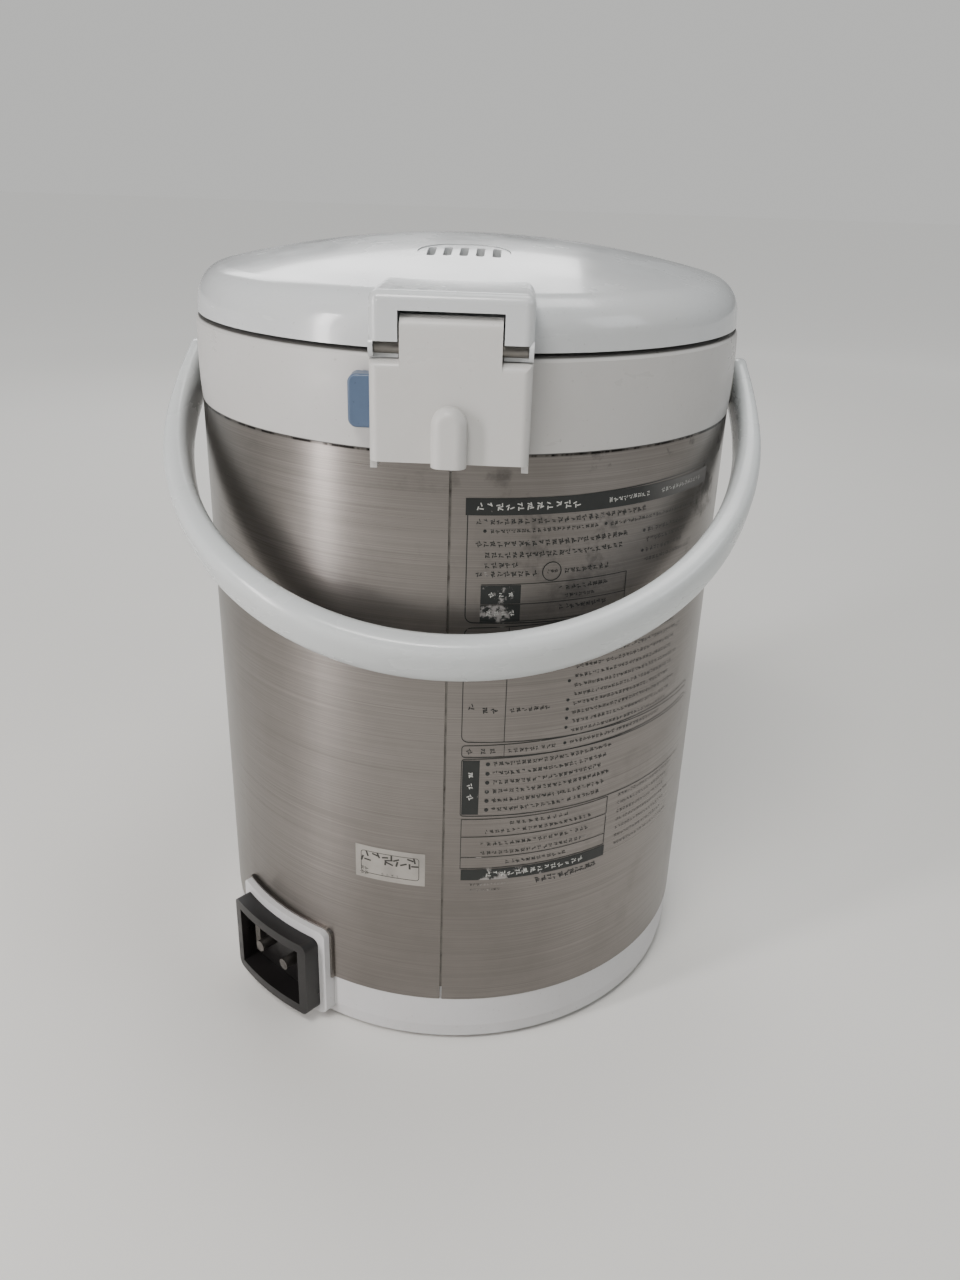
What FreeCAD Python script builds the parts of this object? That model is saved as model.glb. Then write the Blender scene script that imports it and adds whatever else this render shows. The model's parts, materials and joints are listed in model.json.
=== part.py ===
import FreeCAD, Part
import math
import os

"""Electric hot-water dispensing pot, about 3 litres, with a hinged lid and a bail handle.

Millimetres.  The origin is on the body's axis, on the surface that the pot stands on.
+Z is up, -Y is the front with the spout, +Y is the rear with the lid's hinge.
"""

V = FreeCAD.Vector

# ---------------------------------------------------------------- driving dimensions

# Body, from the floor up
SHELL_R = 98.0            # outer radius of the steel shell
SHELL_T = 0.8             # its sheet
BASE_H = 22.5             # height of the base ring's top edge
SHELL_H = 211.5           # visible height of the shell
SHOULDER_H = 29.2         # height of the shoulder ring
SHOULDER_BULGE = 0.5      # how far the shoulder ring swells past the shell
FLOOR_GAP = 1.5           # the plastic clears the floor by this
WALL = 2.5                # moulded wall
BASE_STEP = 0.3           # the base ring's step in from the shell
SEAM_GAP = 0.8            # open joint of the rolled shell, at the rear
SEAM_STRIP_W = 12.0       # backing strip behind the joint

# Lid
LID_GAP = 0.6             # gap between the shoulder ring and the lid
LID_H = 26.2              # height of the domed cover
LID_STEP = 0.5            # the lid's step in from the shell
LID_CROWN_R = 370.0       # radius of the crown
LID_EDGE_R = 12.0         # rounding between crown and side
LID_DRAFT = 1.0           # the side leans in by this at its top
PLUG_GAP = 4.0            # radial gap between the lid's plug and the mouth

# Vessel and mouth
VESSEL_GAP = 20.4         # room between shell and vessel
VESSEL_T = 0.8
VESSEL_FLOOR_Z = 52.0     # underside of the vessel
VESSEL_CORNER = 14.0
FLANGE_W = 7.2            # the vessel's rolled flange
MOUTH_W = 4.2             # radial thickness of the mouth ring
MOUTH_H = 11.7            # its height
GASKET_T = 1.5
OUTLET_R = 5.0            # drain hole to the pump

# Rear hinge
HINGE_OUT = 12.0          # its outer face stands this far from the shell
HINGE_W = 46.0            # width of cover and bracket
HINGE_DROP = 29.0         # height of the hinge cover below the shoulder's top
HINGE_WALL = 2.0
PIN_R = 1.9
PIN_FIT = 0.05            # running clearance of every pin
PIN_IN = 3.1              # pin axis in from the outer face
PIN_UP = 3.1              # pin axis above the shoulder's top
PIN_REACH = 21.5          # the pins end this far from the middle
TAB_W = 28.6              # width of the hinge cover's knuckle
TAB_GAP = 0.5             # side gap between knuckle and ears
KNUCKLE_GAP = 0.6         # gap between the knuckle and the lid's wall
BRACKET_H = 15.2          # the bracket's top above the pin
BRIDGE_GAP = 1.7          # gap over the knuckle
EAR_R = 3.0               # the ear's eye below the pin
RIB_W = 10.2              # rounded rib on the hinge cover
RIB_OUT = 4.5
RIB_TOP_DROP = 12.2       # its top below the shoulder's top
LEVER_TRAVEL = 4.5        # the lid release slides this far
LEVER_H = 15.5
LEVER_DROP = 5.7          # its top below the shoulder's top
LEVER_W = 6.6             # visible width of its head
LEVER_OUT = 4.5           # the head stands this far from the shell
SLIDE_GAP = 0.4           # clearance round sliding and turning pieces

# Bail handle
PIVOT_UP = 6.0            # pivot above the shell's top edge
HANDLE_REST = 32.6        # the handle rests this far below level
HANDLE_T = 9.6            # thickness of the grip
HANDLE_W = 19.6           # width of the band
HANDLE_SIDE = 1.6         # gap between shell and the handle's inner face
HANDLE_LEG_T = 5.8        # thickness of the leg at its pivot
HANDLE_BULGE = 1.7        # the legs swell outwards by this
HANDLE_CLEAR = 5.2        # the grip clears the lid's bracket by this
SHELL_CLEAR = 0.6         # its inner face is relieved to clear the shell by this at rest
HANDLE_EXP = 2.0          # exponent of the bail's rounded outline, 2 being an ellipse
HANDLE_LEG_L = 29.0       # straight leg between the pivot and the curve
HANDLE_EDGE = 2.7         # edge rounding
BOSS_R = 9.5
PIVOT_R = 4.0

# Spout housing and control panel
BEAK_REACH = 69.0         # how far it stands in front of the shell
BEAK_W = 92.0             # width at the shell
BEAK_NOSE_W = 74.0        # width at the nose
BEAK_TOP_UP = 8.8         # its rear top edge above the shoulder's top
BEAK_DROP = 14.0          # its underside below the shell's top edge
BEAK_NOSE_R = 16.0
CHIN_L = 22.0             # the sloping chin under the nose
CHIN_H = 16.0
CHIN_R = 12.0
PANEL_TILT = 8.4
PANEL_W = 60.0
PANEL_L = 50.0
PANEL_BACK = 6.0          # the panel starts this far from the housing's rear edge
BUTTON_TRAVEL = 1.5
NOZZLE_IN = 29.0          # nozzle axis behind the nose
NOZZLE_R = 8.0
NOZZLE_BORE_R = 4.0
NOZZLE_L = 20.0

# Water circuit
HOSE_R = 4.5
HOSE_BORE_R = 3.2
PUMP_X = -14.0
PUMP_Y = -38.0
PUMP_R = 21.0
TUBE_IN = 10.5            # level tube's axis in from the shell's face
GAUGE_W = 16.0
GAUGE_Z0 = 62.0
GAUGE_TOP_DROP = 28.0     # the window ends this far below the shell's top

# Mains inlet, on the rear left
INLET_AZ = 40.5           # degrees from the rear towards +X
INLET_W = 44.0
INLET_Z0 = 7.0
INLET_H = 34.0
INLET_OUT = 11.0          # the housing stands this far from the shell
BEZEL_T = 3.0
BEZEL_OUT = 3.8           # the bezel's curved face stands this far from the shell
BEZEL_CORNER = 3.0
LIP_OUT = 1.4             # the shell's flared lip round it

# ---------------------------------------------------------------- derived places

SHELL_TOP = BASE_H + SHELL_H
RING_TOP = SHELL_TOP + SHOULDER_H
RING_R = SHELL_R + SHOULDER_BULGE
SHELL_IN = SHELL_R - SHELL_T
SKIRT_R = SHELL_IN - 0.1
LID_Z = RING_TOP + LID_GAP
LID_TOP = RING_TOP + LID_GAP + LID_H
LID_R = SHELL_R - LID_STEP
VESSEL_R = SHELL_IN - VESSEL_GAP
VESSEL_TOP = RING_TOP - MOUTH_H - GASKET_T
MOUTH_R = VESSEL_R + FLANGE_W - 4.0
COLLAR_R = MOUTH_R + MOUTH_W
PLUG_R = MOUTH_R - PLUG_GAP
HINGE_Y = SHELL_R + HINGE_OUT
PIN_Y = HINGE_Y - PIN_IN
PIN_Z = RING_TOP + PIN_UP
KNUCKLE_R = PIN_Y - LID_R - KNUCKLE_GAP
COVER_TOP = RING_TOP - 0.3
COVER_Z = RING_TOP - HINGE_DROP
BRACKET_TOP = PIN_Z + BRACKET_H
PIVOT_Z = SHELL_TOP + PIVOT_UP
HANDLE_IN = SHELL_R + HANDLE_SIDE
HANDLE_REACH = math.hypot(HINGE_Y, BRACKET_TOP - PIVOT_Z) + HANDLE_CLEAR + HANDLE_T / 2
BEAK_Y = -(SHELL_R + BEAK_REACH)
BEAK_TOP = RING_TOP + BEAK_TOP_UP
BEAK_Z = SHELL_TOP - BEAK_DROP
PANEL_Y = -(SHELL_R + 1.0)
TUBE_Y = -(SHELL_R - TUBE_IN)
NOZZLE_Y = BEAK_Y + NOZZLE_IN
HOSE_Z = SHELL_TOP + 6.0
NOZZLE_TOP = BEAK_Z + 10.0
GAUGE_Z1 = SHELL_TOP - GAUGE_TOP_DROP
PUMP_Z = 26.0
PUMP_H = 15.0
HOSE_OUT_Z = PUMP_Z + PUMP_H / 2


# ---------------------------------------------------------------- small shape helpers

def cylinder(radius, z0, z1, x=0.0, y=0.0):
    return Part.makeCylinder(radius, z1 - z0, V(x, y, z0))


def ring(r_in, r_out, z0, z1, x=0.0, y=0.0):
    return cylinder(r_out, z0, z1, x, y).cut(cylinder(r_in, z0, z1, x, y))


def cylinder_x(radius, x0, x1, y, z):
    return Part.makeCylinder(radius, x1 - x0, V(x0, y, z), V(1, 0, 0))


def block(x0, x1, y0, y1, z0, z1):
    return Part.makeBox(x1 - x0, y1 - y0, z1 - z0, V(x0, y0, z0))


def along(edge, axis):
    """True if the edge is straight and parallel to the axis, which is 0, 1 or 2."""
    box = edge.BoundBox
    spans = (box.XLength, box.YLength, box.ZLength)
    return all(span < 1e-6 for i, span in enumerate(spans) if i != axis) and spans[axis] > 0.1


def slab(x0, x1, y0, y1, z0, z1, corner):
    """Block with its four upright edges rounded."""
    solid = block(x0, x1, y0, y1, z0, z1)
    return solid.makeFillet(corner, [e for e in solid.Edges if along(e, 2)])


def turned(points):
    """Solid of revolution about Z from (radius, height) corners."""
    corners = [V(r, 0, z) for r, z in points]
    face = Part.Face(Part.makePolygon(corners + corners[:1]))
    return face.revolve(V(0, 0, 0), V(0, 0, 1), 360)


def spun(shape, degrees):
    """Copy turned about the body's axis, clockwise seen from above."""
    copy = shape.copy()
    copy.rotate(V(0, 0, 0), V(0, 0, 1), -degrees)
    return copy


def fused(shapes):
    solid = shapes[0]
    for shape in shapes[1:]:
        solid = solid.fuse(shape)
    return solid.removeSplitter()


def bent_path(points, bend):
    """Straight runs joined by tangent arcs of one radius."""
    edges = []
    start = points[0]
    for before, corner, after in zip(points, points[1:], points[2:]):
        back = (before - corner).normalize()
        ahead = (after - corner).normalize()
        half = (math.pi - back.getAngle(ahead)) / 2
        reach = bend * math.tan(half)
        first = corner + back * reach
        last = corner + ahead * reach
        middle = corner + (back + ahead).normalize() * (bend / math.cos(half) - bend)
        edges.append(Part.makeLine(start, first))
        edges.append(Part.Arc(first, middle, last).toShape())
        start = last
    edges.append(Part.makeLine(start, points[-1]))
    return Part.Wire(edges)


def pipe(points, bend, radius, bore=0.0):
    path = bent_path(points, bend)
    direction = points[1] - points[0]

    def swept(r):
        section = Part.Wire(Part.makeCircle(r, points[0], direction))
        return Part.Solid(path.makePipeShell([section], True, True))

    solid = swept(radius)
    return solid.cut(swept(bore)) if bore else solid


def screw_up(x, y, z, head_r, head_h, shank_r, length):
    """Cross-headed screw driven upwards; z is the underside of its head."""
    head = cylinder(head_r, z, z + head_h, x, y)
    shank = cylinder(shank_r, z + head_h, z + length, x, y)
    arm = head_r * 0.65
    slot = head_r * 0.14
    cross = block(x - arm, x + arm, y - slot, y + slot, z, z + head_h / 2)
    cross = cross.fuse(block(x - slot, x + slot, y - arm, y + arm, z, z + head_h / 2))
    return head.fuse(shank).cut(cross)


def polar(radius, azimuth):
    """Point at an azimuth counted from the rear towards +X."""
    a = math.radians(azimuth)
    return radius * math.sin(a), radius * math.cos(a)


def stadium(width, depth, y, z0, z1):
    """Rounded slot shape, long in X, centred at (0, y)."""
    flat = width / 2 - depth / 2
    ends = cylinder(depth / 2, z0, z1, -flat, y).fuse(cylinder(depth / 2, z0, z1, flat, y))
    return ends.fuse(block(-flat, flat, y - depth / 2, y + depth / 2, z0, z1)).removeSplitter()


# ---------------------------------------------------------------- base

FOOT_IN, FOOT_OUT, FOOT_SINK = SHELL_R - 22.0, SHELL_R - 14.0, 1.2
COVER_T = 2.5
BOTTOM_R = SHELL_R - 5.7
SCREW_RADIUS = SHELL_R - 10.0
BOTTOM_SCREW_AZ = (0.0, 90.0, 180.0, 270.0)
HEAD_R, HEAD_H, SHANK_R, SHANK_L = 2.8, 1.3, 1.5, 8.0


def foot_ring():
    return ring(FOOT_IN, FOOT_OUT, 0.0, FLOOR_GAP + FOOT_SINK)


def bottom_cover():
    plate = cylinder(BOTTOM_R, FLOOR_GAP, FLOOR_GAP + COVER_T)
    plate = plate.cut(ring(FOOT_IN, FOOT_OUT, FLOOR_GAP, FLOOR_GAP + FOOT_SINK))
    for azimuth in BOTTOM_SCREW_AZ:
        x, y = polar(SCREW_RADIUS, azimuth)
        plate = plate.cut(cylinder(HEAD_R + 0.2, FLOOR_GAP, FLOOR_GAP + HEAD_H, x, y))
        plate = plate.cut(cylinder(SHANK_R + 0.2, FLOOR_GAP, FLOOR_GAP + COVER_T, x, y))
    slot_count, slot_w, slot_l = 7, 2.6, 34.0
    for i in range(slot_count):
        x = (i - (slot_count - 1) / 2) * slot_w * 2.2
        plate = plate.cut(block(x - slot_w / 2, x + slot_w / 2, 10.0, 10.0 + slot_l,
                                FLOOR_GAP, FLOOR_GAP + COVER_T))
    return plate


def bottom_screws():
    screws = [screw_up(*polar(SCREW_RADIUS, azimuth), FLOOR_GAP, HEAD_R, HEAD_H, SHANK_R, SHANK_L)
              for azimuth in BOTTOM_SCREW_AZ]
    return Part.makeCompound(screws)


LEDGE_Z = FLOOR_GAP + COVER_T
LEDGE_T = 2.5
LIP_UP = 5.5


def inlet_local(x0, x1, y0, y1, z0, z1, corner=0.0):
    """Block drawn with the inlet facing the rear, corners rounded as seen from there, then turned."""
    shape = block(x0, x1, y0, y1, z0, z1)
    if corner:
        shape = shape.makeFillet(corner, [e for e in shape.Edges if along(e, 1)])
    return spun(shape, INLET_AZ)


def bezel_hole(grow=0.0):
    half = INLET_W / 2 + BEZEL_T + grow
    return inlet_local(-half, half, SHELL_R - 16.0, SHELL_R + 20.0,
                       INLET_Z0 - 2.0 - grow, INLET_Z0 + INLET_H + BEZEL_T + 1.0 + grow, BEZEL_CORNER)


def base_ring():
    out = SHELL_R - BASE_STEP
    wall_in = SHELL_R - 3.3
    body = turned([
        (out - 2.5, FLOOR_GAP), (out - 1.1, FLOOR_GAP + 1.5), (out, FLOOR_GAP + 7.5),
        (out, BASE_H), (SKIRT_R, BASE_H), (SKIRT_R, BASE_H + LIP_UP),
        (wall_in, BASE_H + LIP_UP), (wall_in, LEDGE_Z + LEDGE_T),
        (FOOT_OUT + 0.5, LEDGE_Z + LEDGE_T), (FOOT_OUT + 0.5, LEDGE_Z),
        (BOTTOM_R + 0.2, LEDGE_Z), (BOTTOM_R + 0.2, FLOOR_GAP)])
    body = body.cut(bezel_hole())
    for azimuth in BOTTOM_SCREW_AZ:
        x, y = polar(SCREW_RADIUS, azimuth)
        body = body.cut(cylinder(SHANK_R, LEDGE_Z, LEDGE_Z + LEDGE_T, x, y))
    return body


# ---------------------------------------------------------------- shell and shoulder

def body_shell():
    """Rolled steel sheet with a butt joint at the rear and a flared lip round the inlet."""
    sheet = ring(SHELL_IN, SHELL_R, BASE_H, SHELL_TOP)
    half = INLET_W / 2 + BEZEL_T + SHELL_T
    lip = inlet_local(-half, half, SHELL_R - 8.0, SHELL_R + 10.0,
                      FLOOR_GAP, INLET_Z0 + INLET_H + BEZEL_T + 1.0 + SHELL_T, BEZEL_CORNER + SHELL_T)
    lip = lip.common(ring(SHELL_IN, SHELL_R + LIP_OUT, BASE_H, SHELL_TOP))
    sheet = sheet.fuse(lip).cut(bezel_hole())
    sheet = sheet.cut(block(-SEAM_GAP / 2, SEAM_GAP / 2, SHELL_IN - 2.0, SHELL_R + 1.0, BASE_H, SHELL_TOP))
    window = block(-GAUGE_W / 2, GAUGE_W / 2, -SHELL_R - 1.0, -SHELL_IN + 6.0, GAUGE_Z0, GAUGE_Z1)
    return sheet.cut(window)


def shell_seam_strip():
    """Backing strip that joins the shell's two edges from inside."""
    half = SEAM_STRIP_W / 2
    band = ring(SHELL_IN - 1.0, SHELL_IN, BASE_H + LIP_UP, SHELL_TOP - LIP_UP)
    return band.common(block(-half, half, 0, SHELL_R, BASE_H, SHELL_TOP))


RING_WALL_IN = SHELL_R - 2.7
RING_ROOF_T = 4.2
VESSEL_LEDGE_T = 2.5
MOUTH_FLANGE_W, MOUTH_FLANGE_T = 3.8, 1.7
WIRING_W, WIRING_Z0, WIRING_Z1 = 68.0, 1.0, 24.0


def shoulder_ring():
    """Outer ring with a roof, and the collar that carries the vessel."""
    roof = RING_TOP - RING_ROOF_T
    collar_out = COLLAR_R + 2.4
    swell = Part.Arc(V(SHELL_R, 0, SHELL_TOP), V(RING_R, 0, SHELL_TOP + SHOULDER_H / 2),
                     V(SHELL_R + 0.1, 0, RING_TOP - 2.0)).toShape()
    rest = [(SHELL_R + 0.1, RING_TOP - 2.0), (SHELL_R - 0.7, RING_TOP - 0.6), (SHELL_R - 2.0, RING_TOP),
            (COLLAR_R + MOUTH_FLANGE_W, RING_TOP), (COLLAR_R + MOUTH_FLANGE_W, RING_TOP - MOUTH_FLANGE_T),
            (COLLAR_R, RING_TOP - MOUTH_FLANGE_T), (COLLAR_R, VESSEL_TOP - VESSEL_T),
            (VESSEL_R + 1.5, VESSEL_TOP - VESSEL_T), (VESSEL_R + 1.5, VESSEL_TOP - VESSEL_T - VESSEL_LEDGE_T),
            (collar_out, VESSEL_TOP - VESSEL_T - VESSEL_LEDGE_T), (collar_out, roof), (RING_WALL_IN, roof),
            (RING_WALL_IN, SHELL_TOP - LIP_UP), (SKIRT_R, SHELL_TOP - LIP_UP), (SKIRT_R, SHELL_TOP),
            (SHELL_R, SHELL_TOP)]
    outline = Part.makePolygon([V(r, 0, z) for r, z in rest])
    body = Part.Face(Part.Wire([swell] + outline.Edges)).revolve(V(0, 0, 0), V(0, 0, 1), 360)
    wiring = block(-WIRING_W / 2, WIRING_W / 2, -SHELL_R - 5.0, -collar_out - 1.0,
                   SHELL_TOP + WIRING_Z0, SHELL_TOP + WIRING_Z1)
    body = body.cut(wiring)
    for side in (-1, 1):
        x0, x1 = sorted((side * (RING_WALL_IN - 1.0), side * (RING_R + 1.0)))
        body = body.cut(cylinder_x(PIVOT_R, x0, x1, 0, PIVOT_Z))
    return body


LATCH_W, LATCH_T, LATCH_UP = 16.0, 3.0, 2.5


def mouth_ring():
    """Funnel ring that clamps the vessel's flange, with a catch pocket for the lid's latch."""
    z0 = RING_TOP - MOUTH_H
    body = turned([
        (MOUTH_R, z0), (COLLAR_R, z0), (COLLAR_R, RING_TOP - MOUTH_FLANGE_T),
        (COLLAR_R + MOUTH_FLANGE_W, RING_TOP - MOUTH_FLANGE_T), (COLLAR_R + MOUTH_FLANGE_W, RING_TOP),
        (MOUTH_R + 1.0, RING_TOP), (MOUTH_R, RING_TOP - 1.0)])
    half = LATCH_W / 2 + 1.0
    pocket = block(-half, half, -MOUTH_R - 2.0, -MOUTH_R + 5.0, z0 + 1.0, z0 + LATCH_UP + LATCH_T + 1.5)
    return body.cut(pocket)


# ---------------------------------------------------------------- vessel and heating

def vessel_gasket():
    return ring(MOUTH_R + 0.4, COLLAR_R, VESSEL_TOP, VESSEL_TOP + GASKET_T)


def pan(radius, z0, z1, corner):
    solid = cylinder(radius, z0, z1)
    low = [e for e in solid.Edges if abs(e.BoundBox.ZMax - z0) < 1e-6]
    return solid.makeFillet(corner, low)


def inner_vessel():
    body = pan(VESSEL_R, VESSEL_FLOOR_Z, VESSEL_TOP, VESSEL_CORNER)
    body = body.fuse(cylinder(VESSEL_R + FLANGE_W, VESSEL_TOP - VESSEL_T, VESSEL_TOP))
    body = body.cut(pan(VESSEL_R - VESSEL_T, VESSEL_FLOOR_Z + VESSEL_T, VESSEL_TOP + 1.0,
                        VESSEL_CORNER - VESSEL_T))
    return body.cut(cylinder(OUTLET_R, VESSEL_FLOOR_Z - 1.0, VESSEL_FLOOR_Z + 5.0, PUMP_X, PUMP_Y))


def vessel_filter():
    """Perforated cap over the drain hole."""
    z0 = VESSEL_FLOOR_Z + VESSEL_T
    cap = cylinder(11.0, z0, z0 + 6.0, PUMP_X, PUMP_Y).cut(cylinder(10.0, z0, z0 + 5.0, PUMP_X, PUMP_Y))
    hole_r, hole_ring = 1.1, 6.5
    for i in range(10):
        a = math.radians(36.0 * i)
        cap = cap.cut(cylinder(hole_r, z0, z0 + 7.0,
                               PUMP_X + hole_ring * math.cos(a), PUMP_Y + hole_ring * math.sin(a)))
    return cap


def band_heater():
    z0, high, thick, gap = VESSEL_FLOOR_Z + 18.0, 30.0, 1.5, 10.0
    band = ring(VESSEL_R, VESSEL_R + thick, z0, z0 + high)
    band = band.cut(block(-gap / 2, gap / 2, 0, VESSEL_R + 5.0, z0, z0 + high))
    return band


def base_heater():
    """Ring heater pressed to the vessel's floor, notched round the suction pipe."""
    r_in, r_out, thick = 22.0, VESSEL_R - 16.8, 3.5
    plate = ring(r_in, r_out, VESSEL_FLOOR_Z - thick, VESSEL_FLOOR_Z)
    return plate.cut(cylinder(HOSE_R + 3.0, VESSEL_FLOOR_Z - thick, VESSEL_FLOOR_Z, PUMP_X, PUMP_Y))


def thermistor():
    return cylinder(6.0, VESSEL_FLOOR_Z - 8.0, VESSEL_FLOOR_Z).fuse(
        cylinder(2.0, VESSEL_FLOOR_Z - 14.0, VESSEL_FLOOR_Z - 8.0))


def insulation_jacket():
    """Felt sleeve round the vessel, open at the front for the level tube."""
    r_in, thick, slot = VESSEL_R + 2.2, 6.5, 46.0
    z0, z1 = VESSEL_FLOOR_Z + 14.0, VESSEL_TOP - VESSEL_T - VESSEL_LEDGE_T - 2.7
    return ring(r_in, r_in + thick, z0, z1).cut(block(-slot / 2, slot / 2, -SHELL_R, 0, z0, z1))


ROD_R, ROD_IN = 2.0, 7.0
ROD_AZ = (75.0, 125.0, 235.0, 285.0)


def tie_rods():
    """Rods that clamp shoulder ring and base together."""
    rods = []
    for azimuth in ROD_AZ:
        x, y = polar(SHELL_R - ROD_IN, azimuth)
        rod = cylinder(ROD_R, LEDGE_Z + LEDGE_T, RING_TOP - RING_ROOF_T, x, y)
        rods.append(rod.fuse(cylinder(ROD_R + 1.2, LEDGE_Z + LEDGE_T, LEDGE_Z + LEDGE_T + 3.0, x, y)))
    return Part.makeCompound(rods)


# ---------------------------------------------------------------- pump and water circuit

MOTOR_R = 16.0
MOTOR_TOP = PUMP_Z - 7.0
ROTOR_R, ROTOR_T = 14.0, 3.8
SHAFT_R = 1.5
CHAMBER_R, CHAMBER_FLOOR = PUMP_R - 3.0, 2.0


def pump_housing():
    """Volute chamber with a skirt over the drive magnet and a tangential outlet."""
    body = cylinder(PUMP_R, MOTOR_TOP, PUMP_Z + PUMP_H, PUMP_X, PUMP_Y)
    body = body.fuse(Part.makeCylinder(HOSE_R + 1.2, PUMP_R + 3.0, V(0, PUMP_Y, HOSE_OUT_Z), V(0, -1, 0)))
    chamber_z = PUMP_Z + CHAMBER_FLOOR
    body = body.cut(cylinder(CHAMBER_R, chamber_z, PUMP_Z + PUMP_H - 2.5, PUMP_X, PUMP_Y))
    body = body.cut(cylinder(PUMP_R - 2.0, MOTOR_TOP, PUMP_Z, PUMP_X, PUMP_Y))
    body = body.cut(cylinder(HOSE_BORE_R, PUMP_Z + PUMP_H - 5.0, PUMP_Z + PUMP_H, PUMP_X, PUMP_Y))
    body = body.cut(Part.makeCylinder(HOSE_BORE_R, PUMP_R + 10.0, V(0, PUMP_Y, HOSE_OUT_Z), V(0, -1, 0)))
    return body.fuse(cylinder(SHAFT_R, chamber_z - 0.5, chamber_z + 6.0, PUMP_X, PUMP_Y))


def pump_impeller():
    z0 = PUMP_Z + CHAMBER_FLOOR + 0.8
    disc_t, vane_h, disc_r = 3.0, 4.5, CHAMBER_R - 2.5
    body = cylinder(disc_r, z0, z0 + disc_t, PUMP_X, PUMP_Y).fuse(
        cylinder(4.0, z0, z0 + disc_t + vane_h, PUMP_X, PUMP_Y))
    for i in range(6):
        vane = block(0, disc_r - 0.5, -0.8, 0.8, z0 + disc_t, z0 + disc_t + vane_h)
        vane.rotate(V(0, 0, 0), V(0, 0, 1), 60.0 * i)
        vane.translate(V(PUMP_X, PUMP_Y, 0))
        body = body.fuse(vane)
    return body.cut(cylinder(SHAFT_R + PIN_FIT, z0 - 1.0, z0 + disc_t + vane_h + 1.0, PUMP_X, PUMP_Y))


def pump_motor():
    body = cylinder(MOTOR_R, LEDGE_Z, MOTOR_TOP, PUMP_X, PUMP_Y).fuse(
        cylinder(PUMP_R, MOTOR_TOP - 2.0, MOTOR_TOP, PUMP_X, PUMP_Y))
    return body.cut(cylinder(SHAFT_R + PIN_FIT, LEDGE_Z + 2.0, MOTOR_TOP, PUMP_X, PUMP_Y))


def drive_magnet():
    """Motor shaft with the magnet disc that turns the impeller through the chamber's floor."""
    disc_z = MOTOR_TOP + 1.2
    shaft = cylinder(SHAFT_R, LEDGE_Z + 2.3, disc_z, PUMP_X, PUMP_Y)
    return shaft.fuse(cylinder(ROTOR_R, disc_z, disc_z + ROTOR_T, PUMP_X, PUMP_Y)).cut(
        block(PUMP_X + ROTOR_R - 1.0, PUMP_X + ROTOR_R, PUMP_Y - 2.0, PUMP_Y + 2.0, disc_z, disc_z + ROTOR_T))


def suction_pipe():
    return ring(HOSE_BORE_R, HOSE_R, PUMP_Z + PUMP_H, VESSEL_FLOOR_Z, PUMP_X, PUMP_Y)


DELIVERY_TOP = HOSE_OUT_Z + 15.0
TUBE_TOP = SHELL_TOP - 8.0


def delivery_hose():
    points = [V(0, PUMP_Y - PUMP_R - 3.0, HOSE_OUT_Z), V(0, TUBE_Y, HOSE_OUT_Z), V(0, TUBE_Y, DELIVERY_TOP)]
    return pipe(points, 8.0, HOSE_R, HOSE_BORE_R)


def level_tube():
    return ring(HOSE_BORE_R, HOSE_R, DELIVERY_TOP, TUBE_TOP, 0, TUBE_Y)


def outlet_hose():
    points = [V(0, TUBE_Y, TUBE_TOP), V(0, TUBE_Y, HOSE_Z), V(0, NOZZLE_Y, HOSE_Z), V(0, NOZZLE_Y, NOZZLE_TOP)]
    return pipe(points, 7.0, HOSE_R, HOSE_BORE_R)


def spout_nozzle():
    z0 = NOZZLE_TOP - NOZZLE_L
    body = cylinder(NOZZLE_R, z0, NOZZLE_TOP, 0, NOZZLE_Y)
    low = [e for e in body.Edges if abs(e.BoundBox.ZMax - z0) < 1e-6]
    body = body.makeFillet(1.5, low)
    return body.cut(cylinder(NOZZLE_BORE_R, z0, NOZZLE_TOP, 0, NOZZLE_Y))


def gauge_window():
    """Clear strip in the shell's slot, with a flange behind the sheet."""
    proud, edge = 0.8, 2.0
    front = ring(SHELL_IN - 2.0, SHELL_R + proud, GAUGE_Z0 + 0.1, GAUGE_Z1 - 0.1)
    half = GAUGE_W / 2 - 0.1
    strip = front.common(block(-half, half, -SHELL_R - 2.0, 0, GAUGE_Z0, GAUGE_Z1))
    flange = ring(SHELL_IN - 2.0, SHELL_IN, GAUGE_Z0 - edge, GAUGE_Z1 + edge)
    half = GAUGE_W / 2 + edge
    return strip.fuse(flange.common(block(-half, half, -SHELL_R, 0, 0, SHELL_TOP))).removeSplitter()


def gauge_scale():
    y = -(VESSEL_R + 3.0)
    return block(-GAUGE_W / 2 - 3.0, GAUGE_W / 2 + 3.0, y - 1.0, y, GAUGE_Z0 - 4.0, GAUGE_Z1 + 4.0)


# ---------------------------------------------------------------- spout housing and panel

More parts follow.
